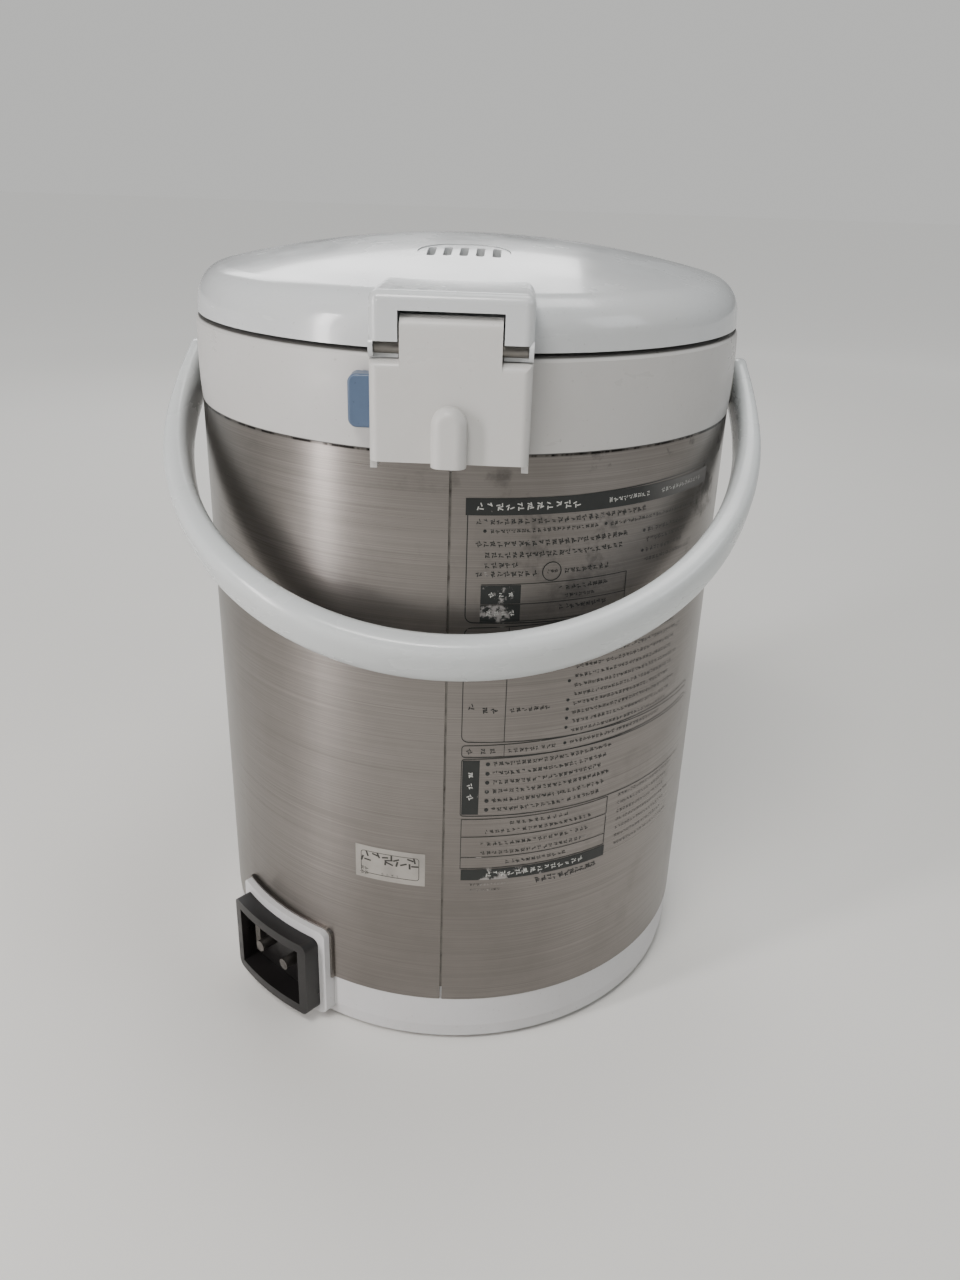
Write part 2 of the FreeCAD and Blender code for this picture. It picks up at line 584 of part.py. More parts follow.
def beak(inset):
    """Outer form of the spout housing, or the same form drawn in by a wall."""
    half, nose = BEAK_W / 2 - inset, BEAK_NOSE_W / 2 - inset
    front, back = BEAK_Y + inset, -SHELL_R + 20.0
    plan = Part.Face(Part.makePolygon([V(-half, back, 0), V(-half, -SHELL_R, 0), V(-nose, front, 0),
                                       V(nose, front, 0), V(half, -SHELL_R, 0), V(half, back, 0),
                                       V(-half, back, 0)]))
    prism = plan.extrude(V(0, 0, BEAK_TOP + 10.0))
    corners = [e for e in prism.Edges if along(e, 2) and abs(e.BoundBox.YMin - front) < 1e-6]
    prism = prism.makeFillet(BEAK_NOSE_R - inset, corners)
    slope = math.tan(math.radians(PANEL_TILT))
    top = BEAK_TOP - inset / math.cos(math.radians(PANEL_TILT))

    def roof(y):
        return top - (PANEL_Y - y) * slope

    low = BEAK_Z + inset
    profile = [(back, low), (front + CHIN_L, low), (front, low + CHIN_H), (front, roof(front)),
               (back, roof(back)), (back, low)]
    side = Part.Face(Part.makePolygon([V(-BEAK_W, y, z) for y, z in profile]))
    wedge = side.extrude(V(2 * BEAK_W, 0, 0))
    chin = [e for e in wedge.Edges if along(e, 0) and e.BoundBox.ZMax < low + CHIN_H + 1.0
            and e.BoundBox.YMin < -SHELL_R]
    wedge = wedge.makeFillet(CHIN_R - inset, chin)
    return prism.common(wedge)


def on_panel(shape):
    """Place a shape drawn with the panel's face at z = 0 and its rear edge at y = 0."""
    copy = shape.copy()
    copy.rotate(V(0, 0, 0), V(1, 0, 0), PANEL_TILT)
    copy.translate(V(0, PANEL_Y, BEAK_TOP))
    return copy


def panel_slab(inset, z0, z1, corner=6.0):
    half = PANEL_W / 2 - inset
    return slab(-half, half, -PANEL_BACK - PANEL_L + inset, -PANEL_BACK - inset, z0, z1, corner)


def spout_housing():
    body = beak(0.0)
    roof_edges = [e for e in body.Edges if e.BoundBox.ZMin > RING_TOP - 4.0 and e.BoundBox.YMax < -SHELL_R + 25.0
                  and e.BoundBox.YMin < -SHELL_R - 5.0]
    body = body.makeFillet(3.0, roof_edges)
    body = body.cut(beak(WALL))
    body = body.cut(cylinder(RING_R, 0, BEAK_TOP + 20.0))
    body = body.cut(on_panel(panel_slab(0.0, -WALL * 2, 5.0)))
    return body.cut(cylinder(NOZZLE_R + 0.1, BEAK_Z - 5.0, BEAK_Z + 5.0, 0, NOZZLE_Y))


# Panel layout: name, x, y and radius of each round button
BUTTONS = (("dispense_button", 0.0, -43.0, 10.0), ("unlock_button", -22.0, -43.0, 5.5),
           ("reboil_button", 22.0, -36.0, 4.5), ("keep_warm_button", 22.0, -49.0, 4.5))
LAMPS = ((-22.0, -31.0), (-12.5, -30.0), (12.5, -30.0))
LAMP_R = 1.3
LENS_W, LENS_Y0, LENS_Y1, LENS_T = 44.0, -25.0, -11.0, 1.2
BUTTON_GAP = 0.3
BOARD_Z = -12.0
BOARD_T = 1.6


def control_panel():
    plate = panel_slab(0.15, -WALL, 0.0)
    plate = plate.fuse(panel_slab(-1.5, -WALL - 1.6, -WALL, 7.0))
    for _, x, y, radius in BUTTONS:
        plate = plate.cut(cylinder(radius + BUTTON_GAP, -10.0, 5.0, x, y))
    for x, y in LAMPS:
        plate = plate.cut(cylinder(LAMP_R, -10.0, 5.0, x, y))
    half = LENS_W / 2
    plate = plate.cut(slab(-half, half, LENS_Y0, LENS_Y1, -LENS_T, 5.0, 2.0))
    plate = plate.cut(slab(-half + 2.0, half - 2.0, LENS_Y0 + 2.0, LENS_Y1 - 2.0, -10.0, 5.0, 1.5))
    return on_panel(plate)


def display_lens():
    half = LENS_W / 2
    return on_panel(slab(-half, half, LENS_Y0, LENS_Y1, -LENS_T, 0.0, 2.0))


def display_module():
    half = LENS_W / 2 - 2.6
    return on_panel(slab(-half, half, LENS_Y0 + 2.6, LENS_Y1 - 2.6, BOARD_Z + BOARD_T, -LENS_T - 0.4, 1.2))


def indicator_lamps():
    lamps = [on_panel(cylinder(LAMP_R, BOARD_Z + BOARD_T, 0.3, x, y)) for x, y in LAMPS]
    return Part.makeCompound(lamps)


def button(x, y, radius):
    """Cap with a retaining flange under the panel."""
    proud, flange_z, flange_t = 1.2, -WALL - 1.6 - 0.3, 1.4
    cap = cylinder(radius, flange_z - flange_t, proud, x, y)
    top = [e for e in cap.Edges if abs(e.BoundBox.ZMin - proud) < 1e-6]
    cap = cap.makeFillet(0.9, top)
    return on_panel(cap.fuse(cylinder(radius + 1.2, flange_z - flange_t, flange_z, x, y)))


def control_board():
    half = PANEL_W / 2 - 3.0
    plate = slab(-half, half, -PANEL_BACK - PANEL_L + 3.0, -PANEL_BACK - 2.0, BOARD_Z, BOARD_Z + BOARD_T, 3.0)
    switch, high = 6.0, 2.0
    for _, x, y, _ in BUTTONS:
        plate = plate.fuse(block(x - switch / 2, x + switch / 2, y - switch / 2, y + switch / 2,
                                 BOARD_Z + BOARD_T, BOARD_Z + BOARD_T + high))
    return on_panel(plate)


# ---------------------------------------------------------------- power inlet and wiring

INLET_FLOOR = SHELL_R + 1.0
POLE_R, POLE_GAP, POLE_L = 2.3, 15.0, 6.5


def socket_bezel():
    half = INLET_W / 2 + BEZEL_T - 0.1
    frame = inlet_local(-half, half, SHELL_R - 8.0, SHELL_R + 20.0, INLET_Z0 - 1.9,
                        INLET_Z0 + INLET_H + BEZEL_T + 0.9, BEZEL_CORNER)
    frame = frame.common(cylinder(SHELL_R + BEZEL_OUT, 0, SHELL_TOP))
    return frame.cut(inlet_local(-INLET_W / 2, INLET_W / 2, SHELL_R - 9.0, SHELL_R + 20.0,
                                 INLET_Z0, INLET_Z0 + INLET_H, 3.0))


def plug_socket():
    """Black housing with a curved rim round a deep pocket for the magnetic plug."""
    half, wall = INLET_W / 2, 4.0
    body = inlet_local(-half, half, SHELL_R - 13.0, SHELL_R + INLET_OUT, INLET_Z0, INLET_Z0 + INLET_H, 3.0)
    body = body.common(cylinder(SHELL_R + INLET_OUT - 1.0, 0, SHELL_TOP))
    return body.cut(inlet_local(-half + wall, half - wall, INLET_FLOOR, SHELL_R + 30.0,
                                INLET_Z0 + wall, INLET_Z0 + INLET_H - wall))


def pole(side, radius, y0, y1):
    z = INLET_Z0 + INLET_H / 2
    pin = Part.makeCylinder(radius, y1 - y0, V(side * POLE_GAP / 2, y0, z), V(0, 1, 0))
    return spun(pin, INLET_AZ)


def socket_pins():
    return Part.makeCompound([pole(side, POLE_R, INLET_FLOOR, INLET_FLOOR + POLE_L) for side in (-1, 1)])


def magnet_plates():
    """Steel keepers that hold the magnetic plug, either side of the pins."""
    z0, z1 = INLET_Z0 + 9.0, INLET_Z0 + INLET_H - 9.0
    plates = [inlet_local(side * 13.5 - 1.5, side * 13.5 + 1.5, INLET_FLOOR, INLET_FLOOR + 3.0, z0, z1)
              for side in (-1, 1)]
    return Part.makeCompound(plates)


BOARD_UP = 4.0
POWER_X0, POWER_X1, POWER_Y0, POWER_Y1 = -52.0, 14.0, 12.0, 58.0
FOOT_R, FOOT_EDGE = 2.0, 2.0


def power_board():
    """Board with a transformer, two relays and a capacitor, standing on four posts."""
    z = LEDGE_Z + BOARD_UP
    top = z + BOARD_T
    plate = block(POWER_X0, POWER_X1, POWER_Y0, POWER_Y1, z, top)
    transformer = block(-44.0, -26.0, 20.0, 34.0, top, z + 14.0)
    tall_relay = block(-40.0, -30.0, 42.0, 52.0, top, z + 16.0)
    low_relay = block(-20.0, -8.0, 18.0, 30.0, top, z + 11.0)
    capacitor = block(-4.0, 8.0, 40.0, 50.0, top, z + 9.0)
    posts = [cylinder(FOOT_R, LEDGE_Z, z, x, y)
             for x in (POWER_X0 + FOOT_EDGE, POWER_X1 - 2 * FOOT_EDGE)
             for y in (POWER_Y0 + FOOT_EDGE, POWER_Y1 - 2 * FOOT_EDGE)]
    return fused([plate, transformer, tall_relay, low_relay, capacitor] + posts)


HARNESS_R, HARNESS_BEND, HARNESS_AZ, HARNESS_IN = 2.0, 6.0, 137.0, 7.5


def wire_harness():
    """Bundle from the power board, up inside the shell's wall and forward to the panel."""
    side_x, side_y = polar(SHELL_R - HARNESS_IN, HARNESS_AZ)
    low = LEDGE_Z + 12.0
    run = [V(POWER_X1, 30.0, low), V(56.0, 4.0, low), V(side_x, side_y, low + 18.0),
           V(side_x, side_y, HOSE_Z), V(24.0, -SHELL_R + 7.0, HOSE_Z), V(22.0, -SHELL_R - 26.0, HOSE_Z + 4.0)]
    return pipe(run, HARNESS_BEND, HARNESS_R)


# ---------------------------------------------------------------- rear hinge

HINGE_HALF = HINGE_W / 2
TAB_HALF = TAB_W / 2
CAVITY_Y = HINGE_Y - HINGE_WALL
LEVER_X0 = HINGE_HALF + 0.5
LEVER_X1 = LEVER_X0 + LEVER_W
LEVER_Z1 = RING_TOP - LEVER_DROP
LEVER_Z0 = LEVER_Z1 - LEVER_H
NECK_Y0 = RING_R + 0.9
NECK_Y1 = NECK_Y0 + 2.6
ARM_X0, ARM_X1 = 8.0, 10.5
ARM_TOP = PIN_Z + 1.7
SPRING_R, SPRING_WIRE = 3.0, 0.45
SPRING_X0 = -9.5
FIXED_PIN_IN = 5.0        # the fixed pin's inner end, from the middle
RIB_BELOW = 0.5           # the rib ends this far below the cover
BRACKET_EDGE = 2.8        # rounding of the bracket's outer edges


def hinge_cover():
    """Hollow cover on the shoulder ring, with the knuckle that holds the hinge pins."""
    body = block(-HINGE_HALF, HINGE_HALF, SHELL_R - 12.0, HINGE_Y, COVER_Z, COVER_TOP)
    rear = [e for e in body.Edges if e.BoundBox.YMin > HINGE_Y - 1e-6 and (along(e, 2) or e.BoundBox.ZMin > COVER_Z)]
    body = body.makeFillet(2.6, rear)
    knuckle = cylinder_x(KNUCKLE_R, -TAB_HALF, TAB_HALF, PIN_Y, PIN_Z)
    knuckle = knuckle.fuse(block(-TAB_HALF, TAB_HALF, PIN_Y - KNUCKLE_R, PIN_Y + KNUCKLE_R,
                                 COVER_TOP - 6.0, PIN_Z))
    knuckle = knuckle.common(block(-TAB_HALF, TAB_HALF, SHELL_R - 2.0, HINGE_Y, COVER_Z, PIN_Z + 20.0))
    knuckle = knuckle.removeSplitter()
    crest = [e for e in knuckle.Edges if along(e, 0) and e.BoundBox.YMin > HINGE_Y - 1e-6
             and e.BoundBox.ZMin > PIN_Z]
    knuckle = knuckle.makeFillet(3.6, crest)
    legs = [block(x - 1.0, x + 1.0, SHELL_R - 12.0, HINGE_Y - 2.6, COVER_Z - 2.5, COVER_Z)
            for x in (-HINGE_HALF + 1.0, HINGE_HALF - 1.0)]
    body = body.fuse(knuckle)
    cavity = block(-HINGE_HALF + HINGE_WALL, HINGE_HALF - HINGE_WALL, SHELL_R - 12.0, CAVITY_Y,
                   COVER_Z - 1.0, COVER_TOP - HINGE_WALL)
    body = body.cut(cavity)
    for leg in legs:
        body = body.fuse(leg)
    stop = block(SPRING_X0 - 2.0, SPRING_X0, RING_R - 1.0, CAVITY_Y, COVER_Z + 5.0, COVER_TOP - HINGE_WALL)
    body = body.fuse(stop)
    arm_room = block(ARM_X0 - LEVER_TRAVEL - 1.0, ARM_X1 + 1.0, RING_R + 0.5, PIN_Y + 0.7,
                     COVER_TOP - HINGE_WALL - 1.0, ARM_TOP + 0.8)
    body = body.cut(arm_room)
    body = body.cut(cylinder(RING_R, 0, RING_TOP))
    pin_x = ARM_X0 - LEVER_TRAVEL - 1.0
    body = body.cut(cylinder_x(PIN_R + PIN_FIT, pin_x, TAB_HALF, PIN_Y, PIN_Z))
    body = body.cut(cylinder_x(PIN_R, -TAB_HALF, -FIXED_PIN_IN, PIN_Y, PIN_Z))
    window = block(HINGE_HALF - HINGE_WALL - 0.5, HINGE_HALF + 1.0, SHELL_R - 12.0,
                   SHELL_R + LEVER_OUT + SLIDE_GAP, LEVER_Z0 - SLIDE_GAP, LEVER_Z1 + SLIDE_GAP)
    body = body.cut(window)
    return body.fuse(hinge_rib()).removeSplitter()


def hinge_rib():
    """Upright rounded rib on the cover's outer face."""
    half = RIB_W / 2
    crown_z = RING_TOP - RIB_TOP_DROP - half
    z0 = COVER_Z - RIB_BELOW
    bar = block(-half, half, HINGE_Y - 0.5, HINGE_Y + RIB_OUT, z0, crown_z)
    head = Part.makeCylinder(half, RIB_OUT + 0.5, V(0, HINGE_Y - 0.5, crown_z), V(0, 1, 0))
    rib = bar.fuse(head).removeSplitter()
    front = [e for e in rib.Edges if e.BoundBox.YMin > HINGE_Y + RIB_OUT - 1e-6 and e.BoundBox.ZMax > z0 + 0.1]
    return rib.makeFillet(3.2, front)


def hinge_pin_fixed():
    return cylinder_x(PIN_R, -PIN_REACH, -FIXED_PIN_IN, PIN_Y, PIN_Z)


def hinge_pin_sliding():
    return cylinder_x(PIN_R, ARM_X0, PIN_REACH, PIN_Y, PIN_Z)


def release_lever():
    """Slide lever: a head beside the cover, a neck under it and an arm up to the sliding pin."""
    head = block(LEVER_X0, LEVER_X1, SHELL_R - 8.0, SHELL_R + LEVER_OUT, LEVER_Z0, LEVER_Z1)
    outer = [e for e in head.Edges if along(e, 1) or e.BoundBox.YMin > SHELL_R + LEVER_OUT - 1e-6]
    corners = [e for e in outer if along(e, 1) and e.BoundBox.XMin > LEVER_X1 - 1e-6]
    head = head.makeFillet(2.6, corners)
    rim = [e for e in head.Edges if e.BoundBox.YMin > SHELL_R + LEVER_OUT - 1e-6 and e.BoundBox.XMax > LEVER_X0 + 0.1]
    head = head.makeFillet(0.8, rim)
    swept_ring = Part.makeCylinder(RING_R + SLIDE_GAP, RING_TOP, V(LEVER_TRAVEL, 0, 0))
    head = head.cut(swept_ring)
    neck = block(ARM_X0, LEVER_X0 + 1.0, NECK_Y0, NECK_Y1, LEVER_Z0 + 2.0, LEVER_Z1 - 2.0)
    arm = block(ARM_X0, ARM_X1, NECK_Y0, PIN_Y + 0.3, LEVER_Z0 + 2.0, ARM_TOP)
    body = head.fuse(neck).fuse(arm).removeSplitter()
    return body.cut(cylinder_x(PIN_R, ARM_X0, ARM_X1, PIN_Y, PIN_Z))


def release_spring():
    """Coil spring that pushes the lever's arm away from the stop inside the cover."""
    length = ARM_X0 - SPRING_X0 - 2 * SPRING_WIRE
    helix = Part.makeHelix(length / 7.0, length, SPRING_R)
    section = Part.Wire(Part.makeCircle(SPRING_WIRE, V(SPRING_R, 0, 0), V(0, 1, 0)))
    coil = Part.Solid(Part.Wire(helix).makePipeShell([section], True, True))
    coil.rotate(V(0, 0, 0), V(0, 1, 0), 90.0)
    coil.translate(V(SPRING_X0 + SPRING_WIRE, (NECK_Y0 + CAVITY_Y) / 2, (LEVER_Z0 + LEVER_Z1) / 2))
    return coil


# ---------------------------------------------------------------- lid

VENT_W, VENT_D, VENT_Y = 30.0, 23.0, 44.0
VENT_SLOT_W, VENT_SLOT_L, VENT_PITCH, VENT_SLOTS = 2.8, 13.0, 5.3, 5
LIFT_W, LIFT_L, LIFT_GAP = 34.0, 15.0, 0.5
LIFT_HINGE_GAP = 1.7
LIFT_UP = 1.4
LIFT_PIN_R, LIFT_DEEP = 1.2, 3.2
LID_SCREW_AZ = (45.0, 135.0, 225.0, 315.0)
LID_SCREW_R = LID_R - 11.0
LIFT_Y = -(LID_R - LIFT_L)


def dome(inset):
    """Solid of the lid's outer form, drawn in by a wall."""
    radius, top = LID_R - inset, LID_TOP - inset
    edge_r = radius - LID_DRAFT
    crown = LID_CROWN_R - inset
    edge_z = top - crown + math.sqrt(crown ** 2 - edge_r ** 2)
    mid_r = edge_r / 2
    mid_z = top - crown + math.sqrt(crown ** 2 - mid_r ** 2)
    arc = Part.Arc(V(edge_r, 0, edge_z), V(mid_r, 0, mid_z), V(0, 0, top)).toShape()
    lines = Part.makePolygon([V(0, 0, top), V(0, 0, LID_Z - inset), V(radius, 0, LID_Z - inset),
                              V(edge_r, 0, edge_z)])
    solid = Part.Face(Part.Wire([arc] + lines.Edges)).revolve(V(0, 0, 0), V(0, 0, 1), 360)
    rim = [e for e in solid.Edges if abs(e.BoundBox.ZMin - edge_z) < 1e-3 and abs(e.BoundBox.ZMax - edge_z) < 1e-3]
    return solid.makeFillet(LID_EDGE_R - inset, rim)


def crown_z(y):
    return LID_TOP - LID_CROWN_R + math.sqrt(LID_CROWN_R ** 2 - y ** 2)


def bracket():
    """U-shaped block that carries the lid's two hinge ears."""
    body = block(-HINGE_HALF, HINGE_HALF, LID_R - 27.0, HINGE_Y, PIN_Z, BRACKET_TOP)
    edges = [e for e in body.Edges if (along(e, 0) and e.BoundBox.ZMin > PIN_Z and e.BoundBox.YMin > LID_R)
             or (along(e, 2) and e.BoundBox.YMin > LID_R)
             or (along(e, 1) and e.BoundBox.ZMin > PIN_Z)]
    body = body.makeFillet(BRACKET_EDGE, edges)
    for side in (-1, 1):
        x0, x1 = sorted((side * (TAB_HALF + TAB_GAP), side * HINGE_HALF))
        body = body.fuse(cylinder_x(EAR_R, x0, x1, PIN_Y, PIN_Z))
    notch = cylinder_x(KNUCKLE_R + BRIDGE_GAP, -TAB_HALF - TAB_GAP, TAB_HALF + TAB_GAP, PIN_Y, PIN_Z)
    notch = notch.fuse(block(-TAB_HALF - TAB_GAP, TAB_HALF + TAB_GAP, PIN_Y - KNUCKLE_R - BRIDGE_GAP,
                             HINGE_Y + 1.0, COVER_Z, PIN_Z))
    notch = notch.common(block(-HINGE_W, HINGE_W, LID_R, HINGE_Y + 5.0, COVER_Z, BRACKET_TOP))
    return body.cut(notch)


def ear_cuts():
    """Pin bores and the windows that show the pins from behind."""
    cuts = []
    for side in (-1, 1):
        x0, x1 = sorted((side * TAB_HALF, side * (PIN_REACH + 0.2)))
        cuts.append(cylinder_x(PIN_R + PIN_FIT, x0, x1, PIN_Y, PIN_Z))
        cuts.append(block(x0, x1, PIN_Y, HINGE_Y + 5.0, PIN_Z - 8.0, PIN_Z + PIN_R - 0.2))
    return cuts


def lift_box(grow, y_end):
    """Room for the open lever, above the spout housing's top edge."""
    half = LIFT_W / 2 + grow
    return block(-half, half, -LID_R - 5.0, y_end, BEAK_TOP + LIFT_UP - grow, LID_TOP + 5.0)


LIFT_PIN_Z = crown_z(LIFT_Y) - LIFT_DEEP - 1.2


def lid_cover():
    body = dome(0.0).fuse(bracket()).cut(dome(WALL))
    body = body.cut(block(-LID_R - 20, LID_R + 20, -LID_R - 20, LID_R, LID_Z - 20.0, LID_Z))
    pilots = []
    for azimuth in LID_SCREW_AZ:
        x, y = polar(LID_SCREW_R, azimuth)
        boss = cylinder(3.5, LID_Z + 2.0, LID_TOP, x, y).common(dome(WALL / 2))
        body = body.fuse(boss)
        pilots.append(cylinder(SHANK_R, LID_Z, LID_Z + SHANK_L, x, y))
    cheeks = [block(x - 1.2, x + 1.2, LIFT_Y - 3.0, LIFT_Y + 4.0, LIFT_PIN_Z - 2.5, LID_TOP).common(dome(WALL / 2))
              for x in (-LIFT_W / 2 - LIFT_GAP - 1.2, LIFT_W / 2 + LIFT_GAP + 1.2)]
    for cheek in cheeks:
        body = body.fuse(cheek)
    for pilot in pilots:
        body = body.cut(pilot)
    body = body.cut(lift_box(LIFT_GAP, LIFT_Y + LIFT_HINGE_GAP))
    body = body.cut(cylinder_x(LIFT_PIN_R + PIN_FIT, -LIFT_W / 2 - 3.0, LIFT_W / 2 + 3.0, LIFT_Y, LIFT_PIN_Z))
    body = body.cut(stadium(VENT_W + 0.4, VENT_D + 0.4, VENT_Y, LID_Z + 5.0, LID_TOP + 5.0))
    for cut in ear_cuts():
        body = body.cut(cut)
    return body


def vent_cover():
    """Steam vent insert with a row of slots, flush with the crown."""
    plate = stadium(VENT_W, VENT_D, VENT_Y, LID_Z, LID_TOP + 5.0).common(dome(0.3)).cut(dome(3.0))
    for i in range(VENT_SLOTS):
        x = (i - (VENT_SLOTS - 1) / 2) * VENT_PITCH
        plate = plate.cut(slab(x - VENT_SLOT_W / 2, x + VENT_SLOT_W / 2, VENT_Y - VENT_SLOT_L / 2,
                               VENT_Y + VENT_SLOT_L / 2, LID_Z, LID_TOP + 5.0, VENT_SLOT_W / 2 - 0.1))
    return plate


FRAME_FLOOR = RING_TOP - 9.2
FRAME_T = 2.0
RIM_GAP = 0.8
VALVE_R = 9.5


def lid_frame():
    """Underside of the lid: a rim plate and the plug that reaches into the mouth."""
    body = turned([
        (0, FRAME_FLOOR), (PLUG_R, FRAME_FLOOR), (PLUG_R, LID_Z), (LID_R - WALL - RIM_GAP, LID_Z),
        (LID_R - WALL - RIM_GAP, LID_Z + FRAME_T), (PLUG_R - FRAME_T, LID_Z + FRAME_T),
        (PLUG_R - FRAME_T, FRAME_FLOOR + FRAME_T), (0, FRAME_FLOOR + FRAME_T)])
    for azimuth in LID_SCREW_AZ:
        x, y = polar(LID_SCREW_R, azimuth)
        body = body.cut(cylinder(HEAD_R + 0.2, LID_Z, LID_Z + HEAD_H, x, y))
        body = body.cut(cylinder(SHANK_R + 0.2, LID_Z, LID_Z + FRAME_T, x, y))
    body = body.cut(lift_box(LIFT_GAP, -PLUG_R - 2.0))
    half = LATCH_W / 2 + SLIDE_GAP
    body = body.cut(block(-half, half, -PLUG_R - 1.0, -PLUG_R + 4.0, LATCH_Z - SLIDE_GAP,
                          LATCH_Z + LATCH_T + SLIDE_GAP))
    return body.cut(cylinder(4.0, FRAME_FLOOR, FRAME_FLOOR + FRAME_T, 0, VENT_Y))


SEAL_T = 3.4
INNER_LID_T = 1.0


def lid_gasket():
    return ring(PLUG_R - 6.0, MOUTH_R - 1.3, FRAME_FLOOR - SEAL_T, FRAME_FLOOR)


def inner_lid():
    """Steel plate that faces the water, with a ring of steam holes."""
    z0 = FRAME_FLOOR - SEAL_T - INNER_LID_T
    plate = cylinder(PLUG_R - 2.5, z0, z0 + INNER_LID_T)
    plate = plate.fuse(cylinder(PLUG_R - 6.0, z0 + INNER_LID_T, FRAME_FLOOR))
    plate = plate.cut(cylinder(PLUG_R - 7.0, z0 + INNER_LID_T, FRAME_FLOOR))
    for i in range(8):
        x, y = polar(24.0, 45.0 * i)
        plate = plate.cut(cylinder(1.6, z0, z0 + INNER_LID_T, x, y))
    return plate


def steam_valve():
    """Tube from the plug's floor up to the vent, with a baffle that stops splashes."""
    z0, z1 = FRAME_FLOOR + FRAME_T, LID_TOP
    body = cylinder(VALVE_R, z0, z1, 0, VENT_Y).common(dome(3.0))
    body = body.cut(cylinder(VALVE_R - 1.5, z0, z1, 0, VENT_Y))
    baffle = cylinder(VALVE_R - 1.0, z0 + 8.0, z0 + 9.5, 0, VENT_Y)
    return body.fuse(baffle.cut(cylinder(3.0, z0, z1, 0, VENT_Y - 4.0)))


def lid_screws():
    return Part.makeCompound([screw_up(*polar(LID_SCREW_R, azimuth), LID_Z, HEAD_R, HEAD_H, SHANK_R, SHANK_L - 0.5)
                              for azimuth in LID_SCREW_AZ])


def open_lever():
    """Flap in the lid's front edge that is lifted to open the lid."""
    skin = dome(0.0).cut(dome(WALL)).common(lift_box(0.0, LIFT_Y))
    rib = block(-LIFT_W / 2, LIFT_W / 2, LIFT_Y - 2.0, LIFT_Y, LIFT_PIN_Z - LIFT_PIN_R, LID_TOP).common(dome(1.0))
    pins = cylinder_x(LIFT_PIN_R, -LIFT_W / 2 - 2.2, LIFT_W / 2 + 2.2, LIFT_Y, LIFT_PIN_Z)
    return skin.fuse(rib).fuse(pins).removeSplitter()


LATCH_Z = FRAME_FLOOR + FRAME_T + 1.0
LATCH_REACH = 0.7


def latch():
    """Sliding tongue that the open lever draws back."""
    half = LATCH_W / 2
    tongue = block(-half, half, -MOUTH_R + LATCH_REACH, -PLUG_R + 14.0, LATCH_Z, LATCH_Z + LATCH_T)
    return tongue.fuse(block(-half / 2, half / 2, -PLUG_R + 10.0, -PLUG_R + 14.0, LATCH_Z, LATCH_Z + 8.0))


# ---------------------------------------------------------------- bail handle

LEG_CLEAR_S = 26.0        # the leg keeps clear of the lid up to here
LEG_BLEND_S = 26.0        # and takes its full thickness over this length


def bail_curve(half_width, reach, leg):
    """Half outline from the pivot to the grip's middle, as (x, distance) points."""
    points = list(leg)
    for i in range(1, 10):
        t = math.radians(90.0 * i / 9)
        power = 2 / HANDLE_EXP
        x = half_width * max(math.cos(t), 0.0) ** power
        s = HANDLE_LEG_L + (reach - HANDLE_LEG_L) * math.sin(t) ** power
        points.append((x, s))
    points[-1] = (0.0, reach)
    return points


def mirrored(points):
    return points + [(-x, s) for x, s in reversed(points[:-1])]


def handle_bail():
    outer_x = HANDLE_IN + HANDLE_LEG_T + HANDLE_BULGE
    inner_x = outer_x - HANDLE_T
    outer_leg = [(HANDLE_IN + HANDLE_LEG_T, 0.0), (HANDLE_IN + HANDLE_LEG_T + HANDLE_BULGE * 0.75, 12.0),
                 (outer_x, 24.0)]
    outer = mirrored(bail_curve(outer_x, HANDLE_REACH + HANDLE_T / 2, outer_leg))
    leg_end = LEG_CLEAR_S + LEG_BLEND_S
    grip_in = HANDLE_REACH - HANDLE_T / 2
    span = 1 - ((leg_end - HANDLE_LEG_L) / (grip_in - HANDLE_LEG_L)) ** HANDLE_EXP
    end_x = inner_x * span ** (1 / HANDLE_EXP)
    full = mirrored(bail_curve(inner_x, grip_in, []))
    full = [p for p in full if p[1] > leg_end + 4.0]
    blend = [(HANDLE_IN, LEG_CLEAR_S / 2), (HANDLE_IN - 0.15, LEG_CLEAR_S + 2.0),
             ((HANDLE_IN + end_x) / 2, LEG_CLEAR_S + LEG_BLEND_S * 0.62), (end_x, leg_end)]
    inner = [(HANDLE_IN, 0.0)] + blend + full + [(-x, s) for x, s in reversed(blend)] + [(-HANDLE_IN, 0.0)]

    def curve(points):
        spline = Part.BSplineCurve()
        spline.interpolate([V(x, s, 0) for x, s in points])
        return spline.toShape()

    ends = [Part.makeLine(V(side * outer_leg[0][0], 0, 0), V(side * HANDLE_IN, 0, 0)) for side in (-1, 1)]
    outline = Part.Wire(Part.__sortEdges__([curve(outer), ends[0], curve(inner), ends[1]]))
    band = Part.Face(outline).extrude(V(0, 0, HANDLE_W))
    band.translate(V(0, 0, -HANDLE_W / 2))
    rails = [e for e in band.Edges if e.BoundBox.ZLength < 1e-6 and e.Length > HANDLE_W * 2]
    band = band.makeFillet(HANDLE_EDGE, rails)
    for side in (-1, 1):
        x0, x1 = sorted((side * HANDLE_IN, side * (HANDLE_IN + HANDLE_LEG_T)))
        band = band.fuse(cylinder_x(BOSS_R, x0, x1, 0, 0))
    for side in (-1, 1):
        x0, x1 = sorted((side * (HANDLE_IN - 1.0), side * (HANDLE_IN + HANDLE_LEG_T - 1.4)))
        band = band.cut(cylinder_x(PIVOT_R + PIN_FIT, x0, x1, 0, 0))
    band.rotate(V(0, 0, 0), V(1, 0, 0), -HANDLE_REST)
    band.translate(V(0, 0, PIVOT_Z))
    return band.cut(cylinder(SHELL_R + SHELL_CLEAR, BASE_H, SHELL_TOP))


